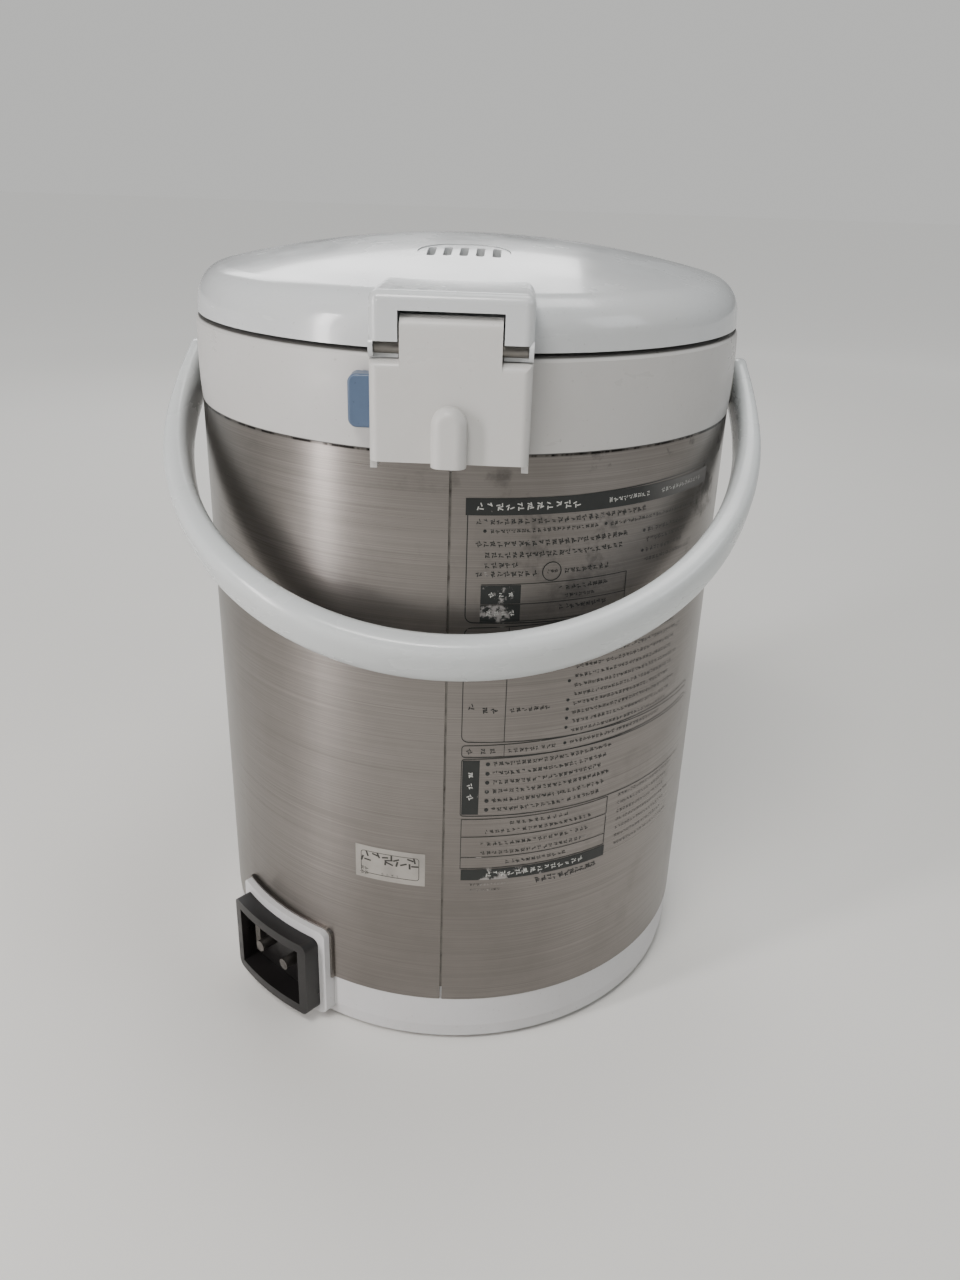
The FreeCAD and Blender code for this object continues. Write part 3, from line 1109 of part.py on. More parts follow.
def handle_pivots():
    """Studs through the shoulder ring's wall, each with a thrust collar."""
    studs = []
    for side in (-1, 1):
        def stud(radius, a, b):
            x0, x1 = sorted((side * a, side * b))
            return cylinder_x(radius, x0, x1, 0, PIVOT_Z)
        pin = stud(PIVOT_R, RING_WALL_IN - 3.0, HANDLE_IN + HANDLE_LEG_T - 1.8)
        collar = stud(PIVOT_R + 3.0, RING_R, HANDLE_IN - 0.2)
        washer = stud(PIVOT_R + 3.0, RING_WALL_IN - 3.0, RING_WALL_IN - 0.6)
        studs.append(pin.fuse(collar).fuse(washer))
    return Part.makeCompound(studs)


# ---------------------------------------------------------------- write every node

NODES = {
    "foot_ring": foot_ring, "bottom_cover": bottom_cover, "bottom_screws": bottom_screws,
    "base_ring": base_ring, "body_shell": body_shell, "shell_seam_strip": shell_seam_strip,
    "shoulder_ring": shoulder_ring, "mouth_ring": mouth_ring, "vessel_gasket": vessel_gasket,
    "inner_vessel": inner_vessel, "vessel_filter": vessel_filter, "band_heater": band_heater,
    "base_heater": base_heater, "thermistor": thermistor, "insulation_jacket": insulation_jacket,
    "tie_rods": tie_rods, "pump_housing": pump_housing, "pump_impeller": pump_impeller,
    "pump_motor": pump_motor, "drive_magnet": drive_magnet, "suction_pipe": suction_pipe,
    "delivery_hose": delivery_hose, "level_tube": level_tube, "outlet_hose": outlet_hose,
    "spout_nozzle": spout_nozzle, "gauge_window": gauge_window, "gauge_scale": gauge_scale,
    "spout_housing": spout_housing, "control_panel": control_panel, "display_lens": display_lens,
    "display_module": display_module, "indicator_lamps": indicator_lamps, "control_board": control_board,
    "socket_bezel": socket_bezel, "plug_socket": plug_socket, "socket_pins": socket_pins,
    "magnet_plates": magnet_plates, "power_board": power_board, "wire_harness": wire_harness,
    "hinge_cover": hinge_cover, "hinge_pin_fixed": hinge_pin_fixed, "hinge_pin_sliding": hinge_pin_sliding,
    "release_lever": release_lever, "release_spring": release_spring, "lid_cover": lid_cover,
    "vent_cover": vent_cover, "lid_frame": lid_frame, "lid_gasket": lid_gasket, "inner_lid": inner_lid,
    "steam_valve": steam_valve, "lid_screws": lid_screws, "open_lever": open_lever, "latch": latch,
    "handle_bail": handle_bail, "handle_pivots": handle_pivots,
}
for name, x, y, radius in BUTTONS:
    NODES[name] = lambda x=x, y=y, radius=radius: button(x, y, radius)

os.makedirs("parts", exist_ok=True)
for name, make in NODES.items():
    shape = make()
    shape.exportStep("parts/" + name + ".step")
    print(name, len(shape.Solids), shape.isValid(), round(shape.Volume))
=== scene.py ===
import json
import math

import bmesh
import bpy
from mathutils import Euler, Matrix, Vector


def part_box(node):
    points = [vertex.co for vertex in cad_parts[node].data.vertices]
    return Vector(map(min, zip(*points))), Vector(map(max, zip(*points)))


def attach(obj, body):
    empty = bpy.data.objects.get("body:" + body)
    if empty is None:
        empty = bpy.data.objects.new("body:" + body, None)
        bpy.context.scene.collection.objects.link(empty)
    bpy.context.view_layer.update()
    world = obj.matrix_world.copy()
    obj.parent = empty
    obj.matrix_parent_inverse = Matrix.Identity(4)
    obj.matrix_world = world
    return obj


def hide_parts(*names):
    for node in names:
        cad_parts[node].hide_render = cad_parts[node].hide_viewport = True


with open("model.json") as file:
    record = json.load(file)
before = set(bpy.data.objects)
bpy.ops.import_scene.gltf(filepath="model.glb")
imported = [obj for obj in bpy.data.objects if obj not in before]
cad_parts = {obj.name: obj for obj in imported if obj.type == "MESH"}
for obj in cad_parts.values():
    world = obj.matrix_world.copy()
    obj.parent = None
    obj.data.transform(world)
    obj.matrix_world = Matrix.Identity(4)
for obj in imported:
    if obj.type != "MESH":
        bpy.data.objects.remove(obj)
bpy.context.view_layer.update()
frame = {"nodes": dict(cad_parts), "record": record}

MM = 0.001
NODES = frame["nodes"]

# ------------------------------------------------------------------ sizes taken from the frame

SHELL_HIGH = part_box("body_shell")[1]
SHELL_TOP = SHELL_HIGH.z
SHELL_R = SHELL_HIGH.y
PIVOT_LOW, PIVOT_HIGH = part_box("handle_pivots")
PIVOT_Z = (PIVOT_LOW.z + PIVOT_HIGH.z) / 2
HANDLE_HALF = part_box("handle_bail")[1].x
RING_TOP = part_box("shoulder_ring")[1].z

# Bail handle: the slope it rests at, its section and its straight legs
HANDLE_SLOPE = math.radians(32.6)
GRIP_T = 9.6 * MM
GRIP_W = 19.6 * MM
LEG_T = 6.4 * MM
LEG_L = 29.0 * MM
LEG_BULGE = 1.7 * MM         # the legs swell outwards by this
THIN_L = 62.0 * MM           # the section reaches its full thickness this far from the pivot

# Front panel: its slope, and the place of its rear line on the housing's top
PANEL_TILT = math.radians(8.4)
PANEL_Y = -(SHELL_R / MM + 1.0)
PANEL_Z = RING_TOP / MM + 8.8

# Print and stickers stand this far from the surface, later layers further out
PRINT_LIFT = 0.10 * MM
PALE_LIFT = 0.15 * MM
FOIL_LIFT = 0.09 * MM
FRAME_LIFT = 0.12 * MM
FOIL_INK_LIFT = 0.13 * MM


# ------------------------------------------------------------------ finishes

class Finish:
    """One material: a shader and the few nodes that give it grain, wear and colour."""

    def __init__(self, name, roughness=0.4, metallic=0.0, **sockets):
        self.material = bpy.data.materials.new(name)
        self.material.use_nodes = True
        self.tree = self.material.node_tree
        self.shader = self.tree.nodes["Principled BSDF"]
        self.place = self.tree.nodes.new("ShaderNodeTexCoord").outputs["Object"]
        self.shader.inputs["Roughness"].default_value = roughness
        self.shader.inputs["Metallic"].default_value = metallic
        for socket, value in sockets.items():
            self.shader.inputs[socket.replace("_", " ")].default_value = value

    def add(self, kind, **inputs):
        node = self.tree.nodes.new(kind)
        for socket, value in inputs.items():
            self.feed(node.inputs[socket.replace("_", " ")], value)
        return node

    def feed(self, socket, value):
        if isinstance(value, bpy.types.NodeSocket):
            self.tree.links.new(value, socket)
        else:
            socket.default_value = value

    def stretched(self, x, y, z, offset=(0.0, 0.0, 0.0)):
        """Object coordinates with a different scale along each axis."""
        return self.add("ShaderNodeMapping", Vector=self.place, Scale=(x, y, z), Location=offset).outputs[0]

    def noise(self, scale, detail=3.0, roughness=0.55, where=None):
        node = self.add("ShaderNodeTexNoise", Scale=scale, Detail=detail, Roughness=roughness,
                        Vector=where or self.place)
        return node.outputs["Fac"]

    def span(self, value, low, high, to_low=0.0, to_high=1.0):
        node = self.add("ShaderNodeMapRange", Value=value)
        limits = {"From Min": low, "From Max": high, "To Min": to_low, "To Max": to_high}
        for socket, number in limits.items():
            node.inputs[socket].default_value = number
        return node.outputs[0]

    def calc(self, operation, first, second=None):
        node = self.tree.nodes.new("ShaderNodeMath")
        node.operation = operation
        self.feed(node.inputs[0], first)
        if second is not None:
            self.feed(node.inputs[1], second)
        return node.outputs[0]

    def mix(self, share, first, second):
        node = self.tree.nodes.new("ShaderNodeMix")
        node.data_type = "RGBA"
        sockets = [s for s in node.inputs if s.enabled]
        for socket, value in zip(sockets, (share, first, second)):
            self.feed(socket, value)
        return [s for s in node.outputs if s.enabled][0]

    def colour(self, value):
        self.feed(self.shader.inputs["Base Color"], value)

    def rough(self, value):
        self.feed(self.shader.inputs["Roughness"], value)

    def bump(self, height, strength, depth):
        node = self.add("ShaderNodeBump", Height=height, Strength=strength, Distance=depth)
        self.tree.links.new(node.outputs[0], self.shader.inputs["Normal"])
        return node


def shade(colour, factor, warm=0.0):
    r, g, b = colour
    return (min(r * factor * (1 + warm), 1), g * factor, b * factor * (1 - warm), 1)


def moulded(name, colour, roughness=0.3, grime=0.5, grain=0.25, coat=0.0, shaded_seams=()):
    """Injection moulded plastic: slight yellowing in patches, dust specks, fine scratches, orange peel.

    Each entry of the last argument gives the height of a joint and the reach of a near-black painted shade
    line laid along its gap.
    """
    f = Finish(name, roughness, Coat_Weight=coat, Coat_Roughness=0.08, IOR=1.48)
    patches = f.span(f.noise(14.0, 4.0), 0.38, 0.66)
    base = f.mix(patches, shade(colour, 1.0), shade(colour, 0.965, 0.012))
    mottle = f.span(f.noise(160.0, 5.0, 0.7), 0.52, 0.78, 0.0, 0.35 * grime)
    base = f.mix(mottle, base, shade(colour, 0.80, 0.03))
    specks = f.span(f.noise(900.0, 2.0, 0.5), 0.70, 0.76, 0.0, 0.7 * grime)
    base = f.mix(specks, base, shade(colour, 0.45, 0.06))
    smears = f.noise(1.0, 4.0, 0.6, f.stretched(26.0, 26.0, 70.0))
    f.rough(f.span(smears, 0.35, 0.7, roughness * 0.8, min(roughness * 1.45 + 0.04, 1.0)))
    if shaded_seams:
        # Painted shade: the plastic turns near black along each listed joint, where the gap lies in shadow.
        level = f.add("ShaderNodeSeparateXYZ", Vector=f.place).outputs[2]
        for z, reach in shaded_seams:
            away = f.calc("ABSOLUTE", f.calc("SUBTRACT", level, z))
            seam_shade = f.span(away, reach * 0.6, reach, 1.0, 0.0)
            base = f.mix(f.calc("MULTIPLY", seam_shade, 0.93), base, (0.02, 0.018, 0.016, 1))
    f.colour(base)
    scratches = f.span(f.noise(1.0, 2.0, 0.4, f.stretched(40.0, 900.0, 300.0)), 0.66, 0.74)
    peel = f.calc("MULTIPLY", f.noise(700.0, 2.0, 0.5), grain)
    f.bump(f.calc("SUBTRACT", peel, f.calc("MULTIPLY", scratches, 0.25)), 0.35, 0.00012)
    return f.material


def brushed_shell():
    """Stainless sheet with hairlines that run round the body, water marks and hand marks."""
    f = Finish("brushed_shell", 0.3, 1.0, Anisotropic=0.72, Anisotropic_Rotation=0.25)
    tangent = f.add("ShaderNodeTangent")
    tangent.direction_type = "RADIAL"
    tangent.axis = "Z"
    f.tree.links.new(tangent.outputs[0], f.shader.inputs["Tangent"])
    hairs = f.noise(1.0, 5.0, 0.75, f.stretched(9.0, 9.0, 2600.0))
    coarse = f.noise(1.0, 3.0, 0.6, f.stretched(4.0, 4.0, 420.0))
    cloud = f.noise(11.0, 5.0, 0.62)
    base = f.mix(f.span(hairs, 0.3, 0.7), (0.185, 0.170, 0.158, 1), (0.290, 0.268, 0.250, 1))
    base = f.mix(f.span(cloud, 0.45, 0.75, 0.0, 0.45), base, (0.140, 0.126, 0.112, 1))
    marks = f.span(f.noise(52.0, 6.0, 0.66), 0.565, 0.65)
    where = f.add("ShaderNodeSeparateXYZ", Vector=f.place)
    height = f.span(where.outputs[2], SHELL_TOP - 0.07, SHELL_TOP, 0.12, 1.0)
    side = f.span(where.outputs[0], 0.02, -0.05, 0.15, 1.0)
    stain = f.calc("MULTIPLY", marks, f.calc("MULTIPLY", height, side))
    base = f.mix(f.calc("MULTIPLY", stain, 0.7), base, (0.085, 0.080, 0.076, 1))
    rough = f.calc("ADD", f.span(hairs, 0.2, 0.8, 0.24, 0.36), f.span(cloud, 0.4, 0.75, 0.0, 0.10))
    f.rough(f.calc("ADD", rough, f.calc("MULTIPLY", stain, 0.25)))
    # Painted shade: a broken near-black line along the sheet's top edge, where the gap under the shoulder
    # ring lies in shadow.
    broken = f.span(f.noise(1.0, 3.0, 0.7, f.stretched(160.0, 160.0, 20.0)), 0.40, 0.52)
    rim = f.span(where.outputs[2], SHELL_TOP - 0.9 * MM, SHELL_TOP - 0.5 * MM)
    rim_shade = f.calc("MULTIPLY", rim, f.span(broken, 0.0, 1.0, 0.55, 1.0))
    f.colour(f.mix(rim_shade, base, (0.015, 0.014, 0.013, 1)))
    f.bump(f.calc("ADD", hairs, f.calc("MULTIPLY", coarse, 0.6)), 0.16, 0.00005)
    return f.material


def turned_steel(name, colour, roughness=0.3, along=(60.0, 60.0, 60.0)):
    """Plain steel with fine drawn lines and dull spots."""
    f = Finish(name, roughness, 1.0)
    lines = f.noise(1.0, 4.0, 0.7, f.stretched(*along))
    spots = f.noise(240.0, 4.0, 0.6)
    base = f.mix(f.span(lines, 0.3, 0.7), shade(colour, 0.86), shade(colour, 1.08))
    f.colour(f.mix(f.span(spots, 0.6, 0.75, 0.0, 0.6), base, shade(colour, 0.4, 0.1)))
    f.rough(f.span(spots, 0.35, 0.7, roughness * 0.8, min(1.0, roughness * 1.6)))
    f.bump(lines, 0.2, 0.00005)
    return f.material


def rubbery(name, colour, roughness=0.65):
    f = Finish(name, roughness, Sheen_Weight=0.15)
    dust = f.noise(220.0, 5.0, 0.7)
    f.colour(f.mix(f.span(dust, 0.5, 0.75), shade(colour, 1.0), shade(colour, 1.35)))
    f.rough(f.span(dust, 0.3, 0.7, roughness * 0.9, min(1.0, roughness * 1.2)))
    f.bump(f.noise(1400.0, 2.0), 0.25, 0.00008)
    return f.material


def felted(name, colour):
    f = Finish(name, 0.95, Sheen_Weight=0.5)
    fibres = f.noise(1.0, 6.0, 0.8, f.stretched(600.0, 900.0, 500.0))
    f.colour(f.mix(f.span(fibres, 0.3, 0.7), shade(colour, 0.75), shade(colour, 1.1)))
    f.bump(fibres, 0.6, 0.0006)
    return f.material


def clear(name, colour, roughness=0.06):
    f = Finish(name, roughness, Transmission_Weight=1.0, IOR=1.49)
    haze = f.noise(120.0, 4.0, 0.6)
    f.colour(f.mix(f.span(haze, 0.4, 0.7), shade(colour, 1.0), shade(colour, 0.92)))
    f.rough(f.span(haze, 0.35, 0.7, roughness * 0.7, roughness * 2.2))
    return f.material


def laminate(name, colour):
    """Circuit board: green lacquer over a grid of copper tracks."""
    f = Finish(name, 0.35)
    bricks = f.add("ShaderNodeTexBrick", Vector=f.place, Scale=220.0, Mortar_Size=0.06)
    tracks = f.mix(bricks.outputs["Fac"], shade(colour, 1.0), shade(colour, 1.7))
    f.colour(f.mix(f.span(f.noise(90.0), 0.4, 0.7, 0.0, 0.5), tracks, shade(colour, 0.7)))
    f.bump(bricks.outputs["Fac"], 0.3, 0.0001)
    return f.material


def lcd():
    f = Finish("display_face", 0.25)
    cells = f.add("ShaderNodeTexChecker", Vector=f.place, Scale=2200.0)
    share = f.calc("MULTIPLY", cells.outputs["Fac"], 0.2)
    f.colour(f.mix(share, (0.23, 0.28, 0.24, 1), (0.17, 0.21, 0.18, 1)))
    f.bump(f.noise(300.0), 0.1, 0.0001)
    return f.material


FINISHES = {
    "grey_plastic": moulded("grey_plastic", (0.56, 0.555, 0.54), 0.33, 0.45),
    "lid_plastic": moulded("lid_plastic", (0.58, 0.60, 0.61), 0.20, 0.5, 0.12, 0.35),
    "handle_plastic": moulded("handle_plastic", (0.60, 0.63, 0.635), 0.24, 0.25, 0.12, 0.25),
    "base_plastic": moulded("base_plastic", (0.62, 0.62, 0.63), 0.36, 0.6),
    "black_plastic": moulded("black_plastic", (0.010, 0.009, 0.009), 0.34, 0.2, 0.3),
    "inner_plastic": moulded("inner_plastic", (0.66, 0.65, 0.61), 0.5, 0.3),
    "blue_plastic": moulded("blue_plastic", (0.080, 0.122, 0.200), 0.36, 1.2, 0.5),
    "button_green": moulded("button_green", (0.25, 0.42, 0.40), 0.35, 0.2),
    "button_grey": moulded("button_grey", (0.33, 0.35, 0.36), 0.38, 0.2),
    "lamp": moulded("lamp_amber", (0.75, 0.22, 0.06), 0.18, 0.1),
    "magnet": moulded("magnet_coating", (0.08, 0.08, 0.085), 0.5, 0.4),
    "heater_mica": moulded("heater_mica", (0.36, 0.30, 0.22), 0.45, 1.0),
    "shell_steel": brushed_shell(),
    "vessel_steel": turned_steel("vessel_steel", (0.62, 0.62, 0.61), 0.28, (30.0, 30.0, 700.0)),
    "pin_steel": turned_steel("pin_steel", (0.20, 0.19, 0.175), 0.42, (90.0, 700.0, 700.0)),
    "bright_metal": turned_steel("bright_metal", (0.68, 0.68, 0.69), 0.22, (300.0, 300.0, 300.0)),
    "silicone": rubbery("silicone", (0.62, 0.62, 0.60), 0.45),
    "foot_rubber": rubbery("foot_rubber", (0.03, 0.03, 0.031)),
    "wire": rubbery("wire_sleeve", (0.5, 0.48, 0.45), 0.5),
    "felt": felted("pressed_felt", (0.60, 0.56, 0.48)),
    "glass_tube": clear("level_glass", (0.93, 0.97, 0.96)),
    "clear_plastic": clear("clear_plastic", (0.92, 0.95, 0.95), 0.05),
    "circuit": laminate("circuit_board", (0.03, 0.16, 0.07)),
    "display": lcd(),
}


# Nodes whose finish differs from the others of their slot
OWN_FINISH = {
    "socket_pins": turned_steel("pole_steel", (0.16, 0.15, 0.14), 0.4),
    # The shoulder ring carries painted shade lines at its joints with the lid and with the shell.
    "shoulder_ring": moulded("shoulder_plastic", (0.52, 0.515, 0.505), 0.34, 0.5, 0.2,
                             shaded_seams=((RING_TOP, 1.3 * MM), (SHELL_TOP, 0.35 * MM))),
}


def finish_cad_nodes():
    for row in frame["record"]["subparts"]:
        name = row["node"]
        node = NODES[name]
        node.data.materials.clear()
        node.data.materials.append(OWN_FINISH.get(name) or FINISHES[row["material_slot"]])


# ------------------------------------------------------------------ camera, floor and light

def add_camera():
    """View from behind and above, close enough for a strong perspective."""
    data = bpy.data.cameras.new("camera")
    data.sensor_width = 36.0
    data.lens = 29.53
    camera = bpy.data.objects.new("camera", data)
    bpy.context.scene.collection.objects.link(camera)
    camera.location = Vector((-17.2, 405.6, 313.8)) * MM
    heading, pitch, roll = 181.244, -24.49, 1.95
    turns = (Euler((0, 0, math.radians(heading))), Euler((math.radians(90 + pitch), 0, 0)),
             Euler((0, 0, math.radians(roll))))
    yaw, tip, bank = (turn.to_matrix() for turn in turns)
    camera.rotation_euler = (yaw @ tip @ bank).to_euler()
    bpy.context.scene.camera = camera


BACKDROP = (0.86, 0.86, 0.84, 1)


def pale(name, colour):
    f = Finish(name, 0.75)
    f.colour(f.mix(f.span(f.noise(5.0, 3.0), 0.3, 0.7), shade(colour, 1.0), shade(colour, 0.98)))
    f.bump(f.noise(300.0), 0.05, 0.0002)
    # Painted light: the floor glows more with distance, so that it fades into the backdrop.
    distance = f.add("ShaderNodeVectorMath", Vector=f.place)
    distance.operation = "LENGTH"
    f.shader.inputs["Emission Color"].default_value = BACKDROP
    f.feed(f.shader.inputs["Emission Strength"], f.span(distance.outputs["Value"], 0.3, 1.7, 0.0, 0.56))
    return f.material


def add_floor():
    """Paper floor that brightens with distance until it meets the backdrop without a horizon."""
    bpy.ops.mesh.primitive_plane_add(size=16.0)
    floor = bpy.context.object
    floor.name = "floor"
    floor.data.materials.append(pale("floor_paper", (0.80, 0.79, 0.76)))


def add_light(name, place, target, power, size, colour=(1, 1, 1)):
    data = bpy.data.lights.new(name, "AREA")
    data.energy = power
    data.shape = "RECTANGLE"
    data.size, data.size_y = size
    data.color = colour
    light = bpy.data.objects.new(name, data)
    light.location = place
    light.rotation_euler = (Vector(target) - Vector(place)).to_track_quat("-Z", "Y").to_euler()
    bpy.context.scene.collection.objects.link(light)


def add_lights():
    middle = (0, 0, 0.15)
    add_light("key", (0.22, 0.72, 1.12), middle, 8.5, (0.42, 0.32), (1.0, 0.98, 0.95))
    add_light("strip", (0.84, 0.60, 0.42), middle, 7.0, (0.12, 0.7), (1.0, 0.96, 0.96))
    add_light("fill", (-1.0, 0.45, 0.8), middle, 2.2, (0.5, 0.5), (0.92, 0.95, 1.0))
    add_light("rim", (0.25, -1.1, 0.85), middle, 5.0, (0.9, 0.4))
    add_light("top", (-0.2, -0.1, 1.15), middle, 4.5, (0.5, 0.5))
    world = bpy.data.worlds.new("studio")
    world.use_nodes = True
    nodes = world.node_tree.nodes
    back = nodes["Background"]
    back.inputs["Color"].default_value = BACKDROP
    seen = nodes.new("ShaderNodeMapRange")
    seen.inputs["To Min"].default_value = 0.17
    seen.inputs["To Max"].default_value = 0.72
    rays = nodes.new("ShaderNodeLightPath")
    world.node_tree.links.new(rays.outputs["Is Camera Ray"], seen.inputs["Value"])
    world.node_tree.links.new(seen.outputs[0], back.inputs["Strength"])
    bpy.context.scene.world = world


# ------------------------------------------------------------------ mesh helpers

def piece_from(name, verts, faces, material, smooth=True):
    mesh = bpy.data.meshes.new(name)
    mesh.from_pydata([tuple(v) for v in verts], [], faces)
    mesh.polygons.foreach_set("use_smooth", [smooth] * len(mesh.polygons))
    mesh.materials.append(material)
    mesh.update()
    piece = bpy.data.objects.new(name, mesh)
    bpy.context.scene.collection.objects.link(piece)
    return piece


def joined(name, meshes, material):
    """One object from several meshes, each already in its place."""
    bm = bmesh.new()
    for mesh in meshes:
        bm.from_mesh(mesh)
    whole = bpy.data.meshes.new(name)
    for face in bm.faces:
        face.material_index = 0
    bm.to_mesh(whole)
    bm.free()
    whole.materials.append(material)
    piece = bpy.data.objects.new(name, whole)
    bpy.context.scene.collection.objects.link(piece)
    return piece


# ------------------------------------------------------------------ print on the shell

def wrapped(u, z, lift):
    """Point on the shell: u runs from the rear seam towards -X along the steel."""
    turn = u / SHELL_R
    radius = SHELL_R + lift
    return (-math.sin(turn) * radius, math.cos(turn) * radius, z)


class Print:
    """Flat inked shapes that follow the shell, gathered into one mesh."""

    STEP = 1.5 * MM

    def __init__(self, lift):
        self.lift = lift
        self.verts = []
        self.faces = []

    def band(self, u0, u1, z0, z1, slope=0.0):
        """Rectangle; slope raises it per unit of u."""
        u0, u1, z0, z1 = (value * MM for value in (u0, u1, z0, z1))
        count = max(1, math.ceil(abs(u1 - u0) / self.STEP))
        base = len(self.verts)
        for i in range(count + 1):
            u = u0 + (u1 - u0) * i / count
            rise = slope * (u - u0)
            self.verts.append(wrapped(u, z0 + rise, self.lift))
            self.verts.append(wrapped(u, z1 + rise, self.lift))
        for i in range(count):
            a = base + 2 * i
            self.faces.append((a, a + 1, a + 3, a + 2))

    def disc(self, u, z, radius, inner=0.0):
        """Filled spot, or a ring when it has an inner radius."""
        u, z, radius, inner = (value * MM for value in (u, z, radius, inner))
        count = 20
        base = len(self.verts)
        for i in range(count):
            a = 2 * math.pi * i / count
            for r in (inner, radius):
                self.verts.append(wrapped(u + r * math.cos(a), z + r * math.sin(a), self.lift))
        for i in range(count):
            a, b = base + 2 * i, base + 2 * ((i + 1) % count)
            self.faces.append((a, b, b + 1, a + 1))

    def frame(self, u0, u1, z0, z1, corner, line, open_right=False):
        """Thin outline with rounded corners."""
        centres = ((u1 - corner, z1 - corner, 0), (u0 + corner, z1 - corner, 90),
                   (u0 + corner, z0 + corner, 180), (u1 - corner, z0 + corner, 270))
        path = []
        for cu, cz, start in centres:
            for i in range(5):
                a = math.radians(start + 22.5 * i)
                path.append((cu, cz, math.cos(a), math.sin(a)))
        if open_right:
            path = [(u1, z1, 0.0, 1.0)] + path[5:15] + [(u1, z0, 0.0, -1.0)]
        dense = []
        for first, second in zip(path, path[1:] + ([] if open_right else path[:1])):
            gap = math.hypot(second[0] - first[0], second[1] - first[1])
            steps = max(1, math.ceil(gap * MM / self.STEP))
            dense += [tuple(p + (q - p) * i / steps for p, q in zip(first, second)) for i in range(steps)]
        if open_right:
            dense.append(path[-1])
        base = len(self.verts)
        for cu, cz, nu, nz in dense:
            reach = 0.0 if (open_right and cu >= u1) else corner
            for r in (reach - line, reach):
                self.verts.append(wrapped((cu + nu * r) * MM, (cz + nz * r) * MM, self.lift))
        count = len(dense)
        for i in range(count - 1 if open_right else count):
            a, b = base + 2 * i, base + 2 * ((i + 1) % count)
            self.faces.append((a, a + 1, b + 1, b))

    def piece(self, name, material):
        return piece_from(name, self.verts, self.faces, material)


